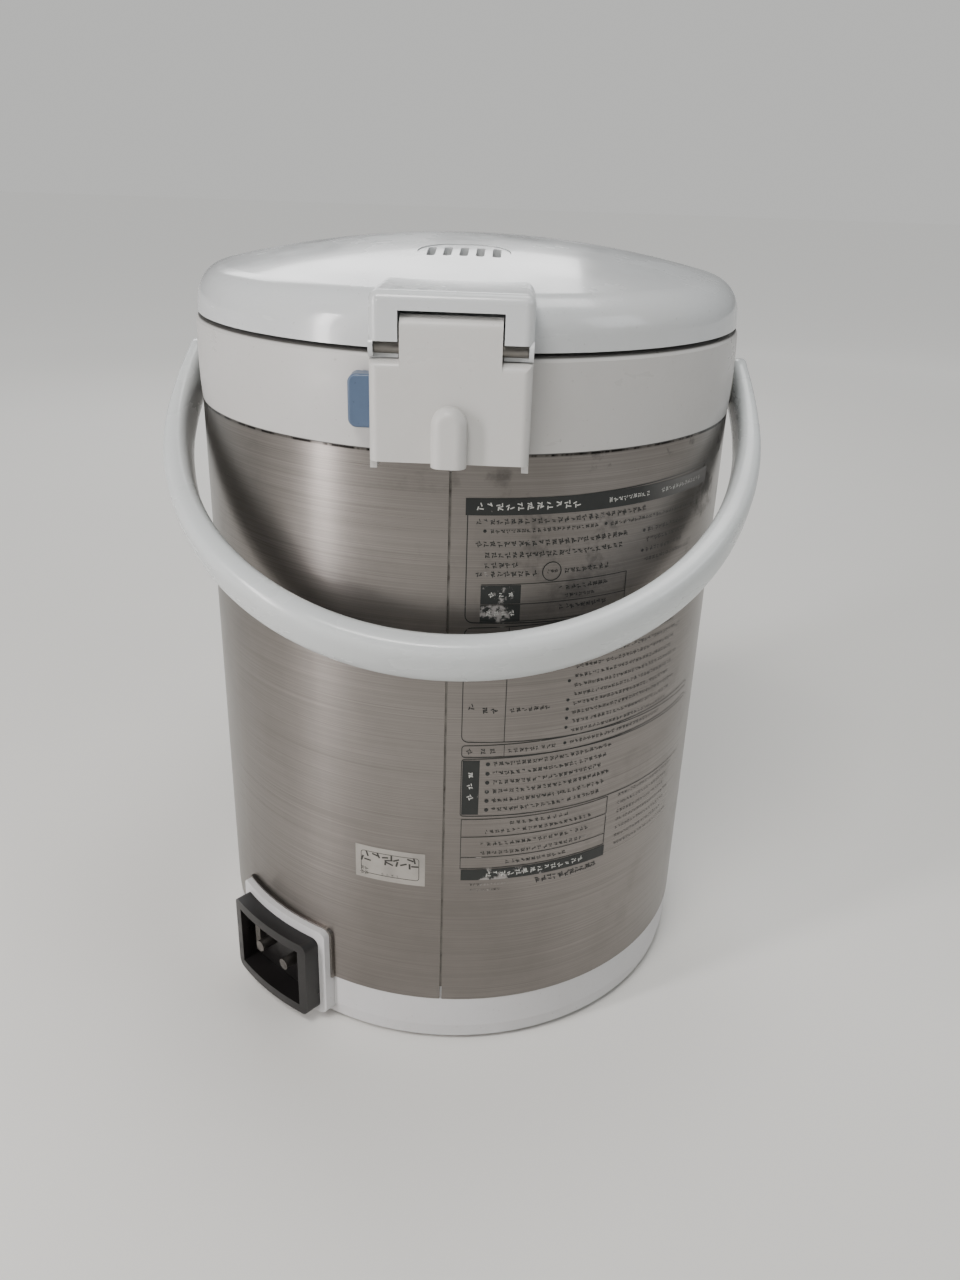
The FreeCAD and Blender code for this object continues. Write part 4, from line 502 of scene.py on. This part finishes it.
def row_tree(name, material):
    """Row of small unreadable marks, laid along u and wrapped round the shell.

    Inputs: Start, End and Height of the row, Size and Pitch of its marks, Radius of the surface, Seed.
    """
    tree = bpy.data.node_groups.new(name, "GeometryNodeTree")
    sockets = {}
    tree.interface.new_socket(name="Geometry", in_out="OUTPUT", socket_type="NodeSocketGeometry")
    for label, kind in (("Start", "Float"), ("End", "Float"), ("Height", "Float"), ("Size", "Float"),
                        ("Pitch", "Float"), ("Radius", "Float"), ("Seed", "Int")):
        sockets[label] = tree.interface.new_socket(name=label, in_out="INPUT",
                                                   socket_type="NodeSocket" + kind)
    source = tree.nodes.new("NodeGroupInput").outputs
    link = tree.links.new

    def math_node(operation, first, second=None):
        node = tree.nodes.new("ShaderNodeMath")
        node.operation = operation
        for socket, value in zip(node.inputs, (first, second)):
            if isinstance(value, bpy.types.NodeSocket):
                link(value, socket)
            elif value is not None:
                socket.default_value = value
        return node.outputs[0]

    def vector(x, y, z):
        node = tree.nodes.new("ShaderNodeCombineXYZ")
        for socket, value in zip(node.inputs, (x, y, z)):
            if isinstance(value, bpy.types.NodeSocket):
                link(value, socket)
            else:
                socket.default_value = value
        return node.outputs[0]

    line = tree.nodes.new("GeometryNodeMeshLine")
    line.mode = "OFFSET"
    span = math_node("SUBTRACT", source["End"], source["Start"])
    link(math_node("DIVIDE", span, source["Pitch"]), line.inputs["Count"])
    first = math_node("ADD", source["Start"], math_node("MULTIPLY", source["Pitch"], 0.5))
    link(vector(first, source["Height"], 0.0), line.inputs["Start Location"])
    link(vector(source["Pitch"], 0.0, 0.0), line.inputs["Offset"])
    # Strokes of a mark: centre x and y, width, height, and the chance that a mark has it
    strokes = ((-0.22, 0.25, 0.46, 0.13, 0.9), (0.2, 0.24, 0.13, 0.46, 0.7),
               (-0.2, -0.22, 0.14, 0.44, 0.75), (0.16, -0.2, 0.5, 0.13, 0.85), (0.0, 0.02, 0.6, 0.11, 0.5))
    join = tree.nodes.new("GeometryNodeJoinGeometry")
    for number, (x, y, wide, high, chance) in enumerate(strokes):
        grid = tree.nodes.new("GeometryNodeMeshGrid")
        grid.inputs["Vertices X"].default_value = 2
        grid.inputs["Vertices Y"].default_value = 2
        link(math_node("MULTIPLY", source["Size"], wide), grid.inputs["Size X"])
        link(math_node("MULTIPLY", source["Size"], high), grid.inputs["Size Y"])
        move = tree.nodes.new("GeometryNodeTransform")
        link(grid.outputs["Mesh"], move.inputs["Geometry"])
        right, up = (math_node("MULTIPLY", source["Size"], part) for part in (x, y))
        link(vector(right, up, 0.0), move.inputs["Translation"])
        keep = tree.nodes.new("FunctionNodeRandomValue")
        keep.data_type = "BOOLEAN"
        keep.inputs["Probability"].default_value = chance
        link(math_node("ADD", source["Seed"], float(number)), keep.inputs["Seed"])
        turn = tree.nodes.new("FunctionNodeRandomValue")
        turn.data_type = "FLOAT"
        turn.inputs[2].default_value = -0.45
        turn.inputs[3].default_value = 0.45
        link(math_node("ADD", source["Seed"], 10.0 + number), turn.inputs["Seed"])
        place = tree.nodes.new("GeometryNodeInstanceOnPoints")
        link(line.outputs["Mesh"], place.inputs["Points"])
        link(keep.outputs[3], place.inputs["Selection"])
        link(move.outputs["Geometry"], place.inputs["Instance"])
        link(vector(0.0, 0.0, turn.outputs[1]), place.inputs["Rotation"])
        link(place.outputs["Instances"], join.inputs["Geometry"])
    real = tree.nodes.new("GeometryNodeRealizeInstances")
    link(join.outputs["Geometry"], real.inputs["Geometry"])
    position = tree.nodes.new("ShaderNodeSeparateXYZ")
    link(tree.nodes.new("GeometryNodeInputPosition").outputs[0], position.inputs[0])
    turn = math_node("DIVIDE", position.outputs[0], SHELL_R)
    side = math_node("MULTIPLY", math_node("MULTIPLY", math_node("SINE", turn), source["Radius"]), -1.0)
    back = math_node("MULTIPLY", math_node("COSINE", turn), source["Radius"])
    wrap = tree.nodes.new("GeometryNodeSetPosition")
    link(real.outputs["Geometry"], wrap.inputs["Geometry"])
    link(vector(side, back, position.outputs[1]), wrap.inputs["Position"])
    paint = tree.nodes.new("GeometryNodeSetMaterial")
    paint.inputs["Material"].default_value = material
    link(wrap.outputs["Geometry"], paint.inputs["Geometry"])
    link(paint.outputs["Geometry"], tree.nodes.new("NodeGroupOutput").inputs["Geometry"])
    return tree, {label: socket.identifier for label, socket in sockets.items()}


def printed_rows(name, material, rows, lift):
    """Rows given as (start, end, height, size, pitch) in millimetres on the steel."""
    tree, keys = row_tree(name + "_tree", material)
    carrier = bpy.data.objects.new(name + "_carrier", bpy.data.meshes.new(name + "_carrier"))
    bpy.context.scene.collection.objects.link(carrier)
    parts = []
    for seed, (start, end, height, size, pitch) in enumerate(rows):
        modifier = carrier.modifiers.new("row", "NODES")
        modifier.node_group = tree
        lengths = {"Start": start, "End": end, "Height": height, "Size": size, "Pitch": pitch}
        for label, value in lengths.items():
            modifier[keys[label]] = value * MM
        modifier[keys["Radius"]] = SHELL_R + lift
        modifier[keys["Seed"]] = 17 * seed + 3
        graph = bpy.context.evaluated_depsgraph_get()
        mesh = bpy.data.meshes.new_from_object(carrier.evaluated_get(graph))
        carrier.modifiers.remove(modifier)
        parts.append(mesh)
    bpy.data.objects.remove(carrier)
    return joined(name, parts, material)


def ink(name, colour, wear, cover=1.0):
    """Screen print rubbed through to the steel in patches."""
    f = Finish(name, 0.4)
    rub = f.noise(95.0, 6.0, 0.68)
    broad = f.noise(17.0, 4.0, 0.6)
    gone = f.span(f.calc("ADD", rub, f.calc("MULTIPLY", broad, 0.6)), wear, wear + 0.05)
    x = f.add("ShaderNodeSeparateXYZ", Vector=f.place).outputs[0]
    fade = f.span(x, -0.060, -0.098, 0.0, 0.75)
    bare = f.calc("MAXIMUM", f.calc("MULTIPLY", gone, 0.85), fade)
    f.colour(f.mix(f.calc("MULTIPLY", bare, cover), shade(colour, 1.0), (0.42, 0.40, 0.385, 1)))
    f.feed(f.shader.inputs["Metallic"], f.calc("MULTIPLY", bare, 0.9))
    f.rough(f.span(rub, 0.3, 0.7, 0.38, 0.6))
    return f.material


def small_rows(start, end, top, step, count, size, pitch):
    """Rows of notes one under another, with ragged ends."""
    ragged = 2.6
    return [(start, end - (i % 3) * ragged, top - i * step, size, pitch) for i in range(count)]


def care_panel():
    """Upper block of unreadable notes, under a dark heading bar."""
    solid = Print(PRINT_LIFT)
    solid.band(4.8, 104, 215.3, 220.8)
    solid.frame(5.3, 112, 179.3, 220.0, 2.6, 0.35, open_right=True)
    solid.band(10.2, 23.1, 185.9, 192.2)
    solid.band(10.2, 23.1, 179.9, 185.4)
    for z in (192.4, 185.5, 179.6):
        solid.band(10.2, 61.5, z, z + 0.22)
    solid.band(61.4, 61.65, 179.6, 192.6)
    solid.disc(33.1, 196.2, 3.3, 3.0)
    for u, z in ((10.9, 210.3), (51.4, 210.3), (68.0, 205.5), (68.0, 198.5)):
        solid.disc(u, z, 0.55)
    dark = [(7.9, 69.9, 213.2, 2.0, 2.15), (12.4, 49.0, 210.2, 1.5, 1.65), (53.0, 96.0, 210.0, 1.5, 1.65),
            (8.1, 61.3, 206.0, 2.1, 2.2), (10.8, 61.3, 202.3, 2.1, 2.2), (10.9, 22.0, 199.0, 2.1, 2.2),
            (8.4, 29.0, 196.0, 2.1, 2.2), (37.2, 54.8, 196.0, 2.0, 2.1), (31.2, 35.4, 196.2, 1.3, 1.35),
            (36.0, 54.0, 190.3, 1.9, 2.0), (38.0, 50.5, 187.4, 1.5, 1.6), (36.0, 54.0, 183.6, 1.9, 2.0)]
    dark += small_rows(69.4, 96.0, 205.5, 3.5, 4, 1.7, 1.85)
    light = [(7.7, 44.8, 218.0, 2.7, 3.1), (51.5, 70.0, 218.0, 1.8, 1.95), (74.5, 100.0, 218.0, 1.7, 1.85),
             (12.0, 21.6, 189.0, 1.8, 3.2), (11.6, 21.9, 182.6, 1.9, 2.55)]
    return solid, dark, light


def notice_panel():
    """Lower block: framed notes, a dark upright bar and a ruled table, none of it readable."""
    solid = Print(PRINT_LIFT)
    solid.frame(5.3, 112, 135.3, 177.8, 2.4, 0.3, open_right=True)
    solid.band(19.8, 20.05, 135.3, 177.6)
    solid.frame(5.5, 112, 129.4, 134.2, 1.2, 0.3, open_right=True)
    solid.band(20.0, 20.2, 129.6, 134.0)
    solid.band(6.0, 11.9, 106.4, 128.2)
    solid.frame(5.5, 112, 105.6, 128.9, 1.2, 0.3, open_right=True)
    for z in (104.2, 96.8, 88.1, 83.3):
        solid.band(6.0, 62.9, z, z + 0.25)
    solid.band(6.0, 6.25, 83.3, 104.4)
    solid.band(62.7, 62.95, 83.3, 104.4)
    solid.band(6.4, 63.3, 78.3, 82.9)
    for z in (156.0, 148.7, 145.2, 141.7, 138.1, 132.0):
        solid.disc(42.1, z, 0.6)
    for z in (126.7, 122.9, 119.3, 115.6, 111.9, 108.2):
        solid.disc(14.7, z, 0.75)
    dark = [(7.0, 10.4, 148.8, 2.6, 2.8), (11.4, 18.4, 147.5, 2.5, 3.2), (21.3, 37.6, 147.2, 1.9, 2.05),
            (7.0, 10.2, 131.7, 2.2, 2.4), (11.2, 18.8, 131.7, 2.3, 3.3), (21.3, 39.5, 131.7, 1.8, 1.95),
            (44.0, 88.0, 132.0, 1.6, 1.75), (23.0, 47.0, 102.2, 1.8, 2.3), (14.0, 56.0, 99.0, 1.7, 2.0),
            (13.0, 56.0, 93.8, 1.8, 2.1), (13.0, 56.0, 90.0, 1.8, 2.1), (22.0, 47.0, 85.6, 1.8, 2.0),
            (9.6, 24.0, 76.3, 1.1, 1.25), (9.6, 22.0, 73.9, 1.1, 1.25), (33.9, 59.8, 75.8, 2.8, 2.35)]
    dark += small_rows(44.0, 97.0, 175.0, 3.5, 12, 1.6, 1.75)
    dark += small_rows(16.4, 64.0, 126.7, 3.68, 6, 1.9, 2.0)
    dark += small_rows(68.0, 104.0, 103.0, 3.6, 7, 1.5, 1.7)
    light = [(15.0, 56.0, 80.6, 2.5, 2.75), (7.7, 10.2, 122.5, 2.3, 2.4), (7.7, 10.2, 118.0, 2.3, 2.4),
             (7.7, 10.2, 113.5, 2.3, 2.4)]
    return solid, dark, light


def add_print():
    black = ink("print_black", (0.010, 0.012, 0.011), 0.93)
    pale_ink = ink("print_pale", (0.52, 0.52, 0.49), 0.98, 0.5)
    for name, (solid, dark, light) in (("care_print", care_panel()), ("notice_print", notice_panel())):
        shapes = solid.piece(name + "_shapes", black)
        rows = printed_rows(name + "_rows", black, dark, PRINT_LIFT)
        marks = printed_rows(name + "_light", pale_ink, light, PALE_LIFT)
        for piece in (shapes, rows, marks):
            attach(piece, "body")


def add_sticker():
    """Small foil sticker left of the seam, with a thin frame and unreadable marks."""
    foil = Finish("sticker_foil", 0.42, 0.35)
    tarnish = foil.span(foil.noise(120.0, 4.0), 0.35, 0.7)
    foil.colour(foil.mix(tarnish, (0.37, 0.35, 0.32, 1), (0.29, 0.275, 0.25, 1)))
    foil.rough(foil.span(foil.noise(60.0, 4.0), 0.3, 0.7, 0.3, 0.5))
    foil.bump(foil.noise(200.0, 3.0), 0.12, 0.0001)
    high = 14.0
    left, right, low = -32.6, -6.4, 74.8
    plate = Print(FOIL_LIFT)
    plate.band(left, right, low, low + high)
    sticker = plate.piece("date_sticker", foil.material)
    rows = [(left + 1.8, left + 24.5, low + 9.2, 5.2, 4.4), (left + 1.8, left + 6.4, low + 4.2, 1.7, 1.6),
            (left + 1.8, left + 6.4, low + 2.2, 1.7, 1.6), (left + 9.5, left + 19.0, low + 3.0, 0.9, 1.9)]
    black = ink("sticker_ink", (0.03, 0.028, 0.025), 1.2)
    inked = printed_rows("sticker_marks", black, rows, FOIL_INK_LIFT)
    outline = Print(FRAME_LIFT)
    edge, corner = 0.9, 1.2
    margin = edge + corner
    outline.frame(left + margin, right - margin, low + margin, low + high - margin, corner, 0.25)
    border = outline.piece("sticker_frame", black)
    for piece in (sticker, inked, border):
        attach(piece, "body")


# ------------------------------------------------------------------ bail handle

def handle_reach(along):
    """Reach of the frame's handle from its pivot, along its slope."""
    pivot = Vector((0.0, 0.0, PIVOT_Z))
    return max((v.co - pivot).dot(along) for v in NODES["handle_bail"].data.vertices)


def handle_outline(reach, leg_steps=12, turns=96):
    """Outer outline as (x, distance along the slope): a leg, half an ellipse and the other leg."""
    leg = []
    for i in range(leg_steps):
        share = i / leg_steps
        leg.append((HANDLE_HALF - LEG_BULGE * (1 - share) ** 2, LEG_L * share))
    bow = []
    for i in range(turns + 1):
        a = math.pi * i / turns
        bow.append((HANDLE_HALF * math.cos(a), LEG_L + (reach - LEG_L) * math.sin(a)))
    return leg + bow + [(-x, s) for x, s in reversed(leg)]


def handle_thickness(s):
    """The section thickens smoothly from the pivot to the grip."""
    share = min(1.0, max(0.0, s / THIN_L))
    return LEG_T + (GRIP_T - LEG_T) * share * share * (3 - 2 * share)


def rounded(value, power=0.62):
    """Sine or cosine flattened towards a soft oval."""
    return math.copysign(abs(value) ** power, value)


def close_leg(verts, faces, base, around, along, across, at_end):
    """Round off the leg's end behind its pivot."""
    steps, taper = 8, 0.35
    rim = verts[base:base + around]
    middle = sum(rim, Vector()) / around
    previous = list(range(base, base + around))
    for step in range(1, steps + 1):
        a = math.radians(90.0 * step / steps)
        back = -along * (GRIP_W / 2 * math.sin(a))
        ring = []
        for point in rim:
            offset = point - middle
            offset = Vector((offset.x * (1 - taper * (1 - math.cos(a))), offset.y, offset.z))
            level = across * offset.dot(across)
            verts.append(middle + (offset - level) + level * math.cos(a) + back)
            ring.append(len(verts) - 1)
        for j in range(around):
            k = (j + 1) % around
            face = (previous[j], previous[k], ring[k], ring[j])
            faces.append(face if at_end else tuple(reversed(face)))
        previous = ring
    faces.append(tuple(previous) if at_end else tuple(reversed(previous)))


def add_handle():
    """Bail with a soft oval section that thins towards its two pivots."""
    along = Vector((0.0, math.cos(HANDLE_SLOPE), -math.sin(HANDLE_SLOPE)))
    across = Vector((0.0, along.z * -1.0, along.y))
    pivot = Vector((0.0, 0.0, PIVOT_Z))
    around = 32
    stations = handle_outline(handle_reach(along))
    count = len(stations)
    verts, faces = [], []
    for i, (x, s) in enumerate(stations):
        x0, s0 = stations[max(i - 1, 0)]
        x1, s1 = stations[min(i + 1, count - 1)]
        run = Vector((x1 - x0, s1 - s0)).normalized()
        inward = Vector((-run.y, run.x))
        if x * inward.x + (s - LEG_L) * inward.y >= 0:
            inward = -inward
        depth = handle_thickness(s)
        for j in range(around):
            a = 2 * math.pi * j / around
            inset = depth / 2 * (1 - rounded(math.cos(a)))
            px, ps = x + inward.x * inset, s + inward.y * inset
            level = across * (GRIP_W / 2 * rounded(math.sin(a)))
            verts.append(pivot + Vector((px, 0, 0)) + along * ps + level)
    for i in range(count - 1):
        for j in range(around):
            k = (j + 1) % around
            a, b = i * around, (i + 1) * around
            faces.append((a + j, a + k, b + k, b + j))
    for at_end, base in ((False, 0), (True, (count - 1) * around)):
        close_leg(verts, faces, base, around, along, across, at_end)
    handle = piece_from("bail_grip", verts, faces, FINISHES["handle_plastic"])
    recalculated(handle)
    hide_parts("handle_bail")
    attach(handle, "handle")


def recalculated(piece):
    """Merge doubles and point every face outwards."""
    bm = bmesh.new()
    bm.from_mesh(piece.data)
    bmesh.ops.remove_doubles(bm, verts=bm.verts, dist=0.00002)
    bmesh.ops.recalc_face_normals(bm, faces=bm.faces)
    bm.to_mesh(piece.data)
    bm.free()


def add_vent_shade_sheet():
    """Near-black sheet under the vent's slots, painted shade that stands in for the dark inside the slots.
    """
    low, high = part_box("vent_cover")
    inset, rise, thick, steps = 2.5 * MM, 1.2 * MM, 0.5 * MM, 24
    half, deep = (high.x - low.x) / 2 - inset, (high.y - low.y) / 2 - inset
    y, z = (low.y + high.y) / 2, low.z + rise
    flat = half - deep
    rim = []
    for middle, start in ((flat, -90), (-flat, 90)):
        for i in range(steps + 1):
            a = math.radians(start + 180 * i / steps)
            rim.append((middle + deep * math.cos(a), y + deep * math.sin(a)))
    count = len(rim)
    verts = [(x, yy, z + lift) for lift in (0.0, thick) for x, yy in rim]
    faces = [tuple(reversed(range(count))), tuple(range(count, 2 * count))]
    faces += [(i, (i + 1) % count, count + (i + 1) % count, count + i) for i in range(count)]
    # Painted shade: a near-black sheet that makes the slots read dark.
    slot_shade = rubbery("vent_slot_shade", (0.006, 0.006, 0.006), 0.9)
    shade_sheet = piece_from("vent_shade_sheet", verts, faces, slot_shade, False)
    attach(shade_sheet, "lid")


# ------------------------------------------------------------------ marks on the front

SEGMENTS = {"8": "abcdefg", "9": "abcdfg"}
SYMBOL_UP = 1.26             # the buttons' tops stand this far above the panel
FIGURE_UP = -1.45            # under the display's lens
RULE_UP = 0.06


def on_panel(x, y, z):
    """Point given on the sloping panel: y runs back from its rear line and z up from its face."""
    c, s = math.cos(PANEL_TILT), math.sin(PANEL_TILT)
    return (x * MM, (PANEL_Y + y * c - z * s) * MM, (PANEL_Z + y * s + z * c) * MM)


def panel_marks(name, boxes, height, material, body):
    """Flat rectangles (x0, x1, y0, y1) printed at a height above the panel's face."""
    verts, faces = [], []
    for x0, x1, y0, y1 in boxes:
        base = len(verts)
        verts += [on_panel(x, y, height) for x, y in ((x0, y0), (x1, y0), (x1, y1), (x0, y1))]
        faces.append((base, base + 1, base + 2, base + 3))
    piece = piece_from(name, verts, faces, material, False)
    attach(piece, body)


def digit(mark, x, y, wide, high, line):
    """Seven-segment figure as rectangles; x, y is its lower left corner."""
    middle = y + high / 2
    top, right = y + high, x + wide
    bars = {"a": (x, right, top - line, top), "b": (right - line, right, middle, top),
            "c": (right - line, right, y, middle), "d": (x, right, y, y + line),
            "e": (x, x + line, y, middle), "f": (x, x + line, middle, top),
            "g": (x, right, middle - line / 2, middle + line / 2)}
    return [bars[key] for key in SEGMENTS[mark]]


def add_panel_marks():
    """Temperature figures on the display and plain symbols on the buttons."""
    dark = rubbery("mark_grey", (0.045, 0.05, 0.05), 0.5)
    white = rubbery("mark_white", (0.62, 0.63, 0.62), 0.5)
    figures = []
    for mark, x in (("9", -4.6), ("8", 0.4)):
        figures += digit(mark, x, -21.4, 3.6, 6.8, 0.8)
    figures.append((5.2, 6.0, -15.4, -14.6))
    for i in range(4):
        x = -15.0 + 2.4 * i
        figures.append((x, x + 1.6, -21.2, -20.4))
    panel_marks("display_figures", figures, FIGURE_UP, dark, "body")
    symbols = {
        "dispense": [(-3.2, 3.2, -39.2, -38.4), (-0.5, 0.5, -47.5, -40.6), (-2.0, 2.0, -47.9, -47.1)],
        "unlock": [(-24.0, -20.0, -45.0, -42.6), (-23.4, -22.9, -42.6, -40.8),
                   (-21.1, -20.6, -42.6, -40.8), (-23.4, -20.6, -41.2, -40.7)],
        "reboil": [(20.2, 23.8, -36.3, -35.7), (21.7, 22.3, -37.8, -34.2)],
        "keep_warm": [(20.2, 23.8, -49.3, -48.7)],
    }
    for name, boxes in symbols.items():
        panel_marks(name + "_symbol", boxes, SYMBOL_UP, white, name + "_button")
    rules = [(-27.0, -17.0, -50.9, -50.5), (-9.0, 9.0, -27.7, -27.3), (17.5, 26.5, -42.7, -42.3)]
    panel_marks("panel_rules", rules, RULE_UP, dark, "body")


def add_gauge_marks():
    """Level lines on the scale behind the gauge window."""
    low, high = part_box("gauge_scale")
    dark = rubbery("gauge_ink", (0.05, 0.055, 0.06), 0.5)
    y = low.y - 0.08 * MM
    lines, line_t, edge, margin = 13, 0.5 * MM, 8.4 * MM, 0.08
    verts, faces = [], []
    for i in range(lines):
        z = low.z + (high.z - low.z) * (margin + (1 - 2 * margin) * i / (lines - 1))
        length = (6.0 if i % 3 == 0 else 3.6) * MM
        for x0, x1 in ((-edge, length - edge), (edge - length, edge)):
            base = len(verts)
            verts += [(x0, y, z), (x1, y, z), (x1, y, z + line_t), (x0, y, z + line_t)]
            faces.append((base, base + 1, base + 2, base + 3))
    piece = piece_from("gauge_lines", verts, faces, dark, False)
    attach(piece, "body")


add_camera()
add_floor()
add_lights()
finish_cad_nodes()
add_print()
add_sticker()
add_handle()
add_vent_shade_sheet()
add_panel_marks()
add_gauge_marks()
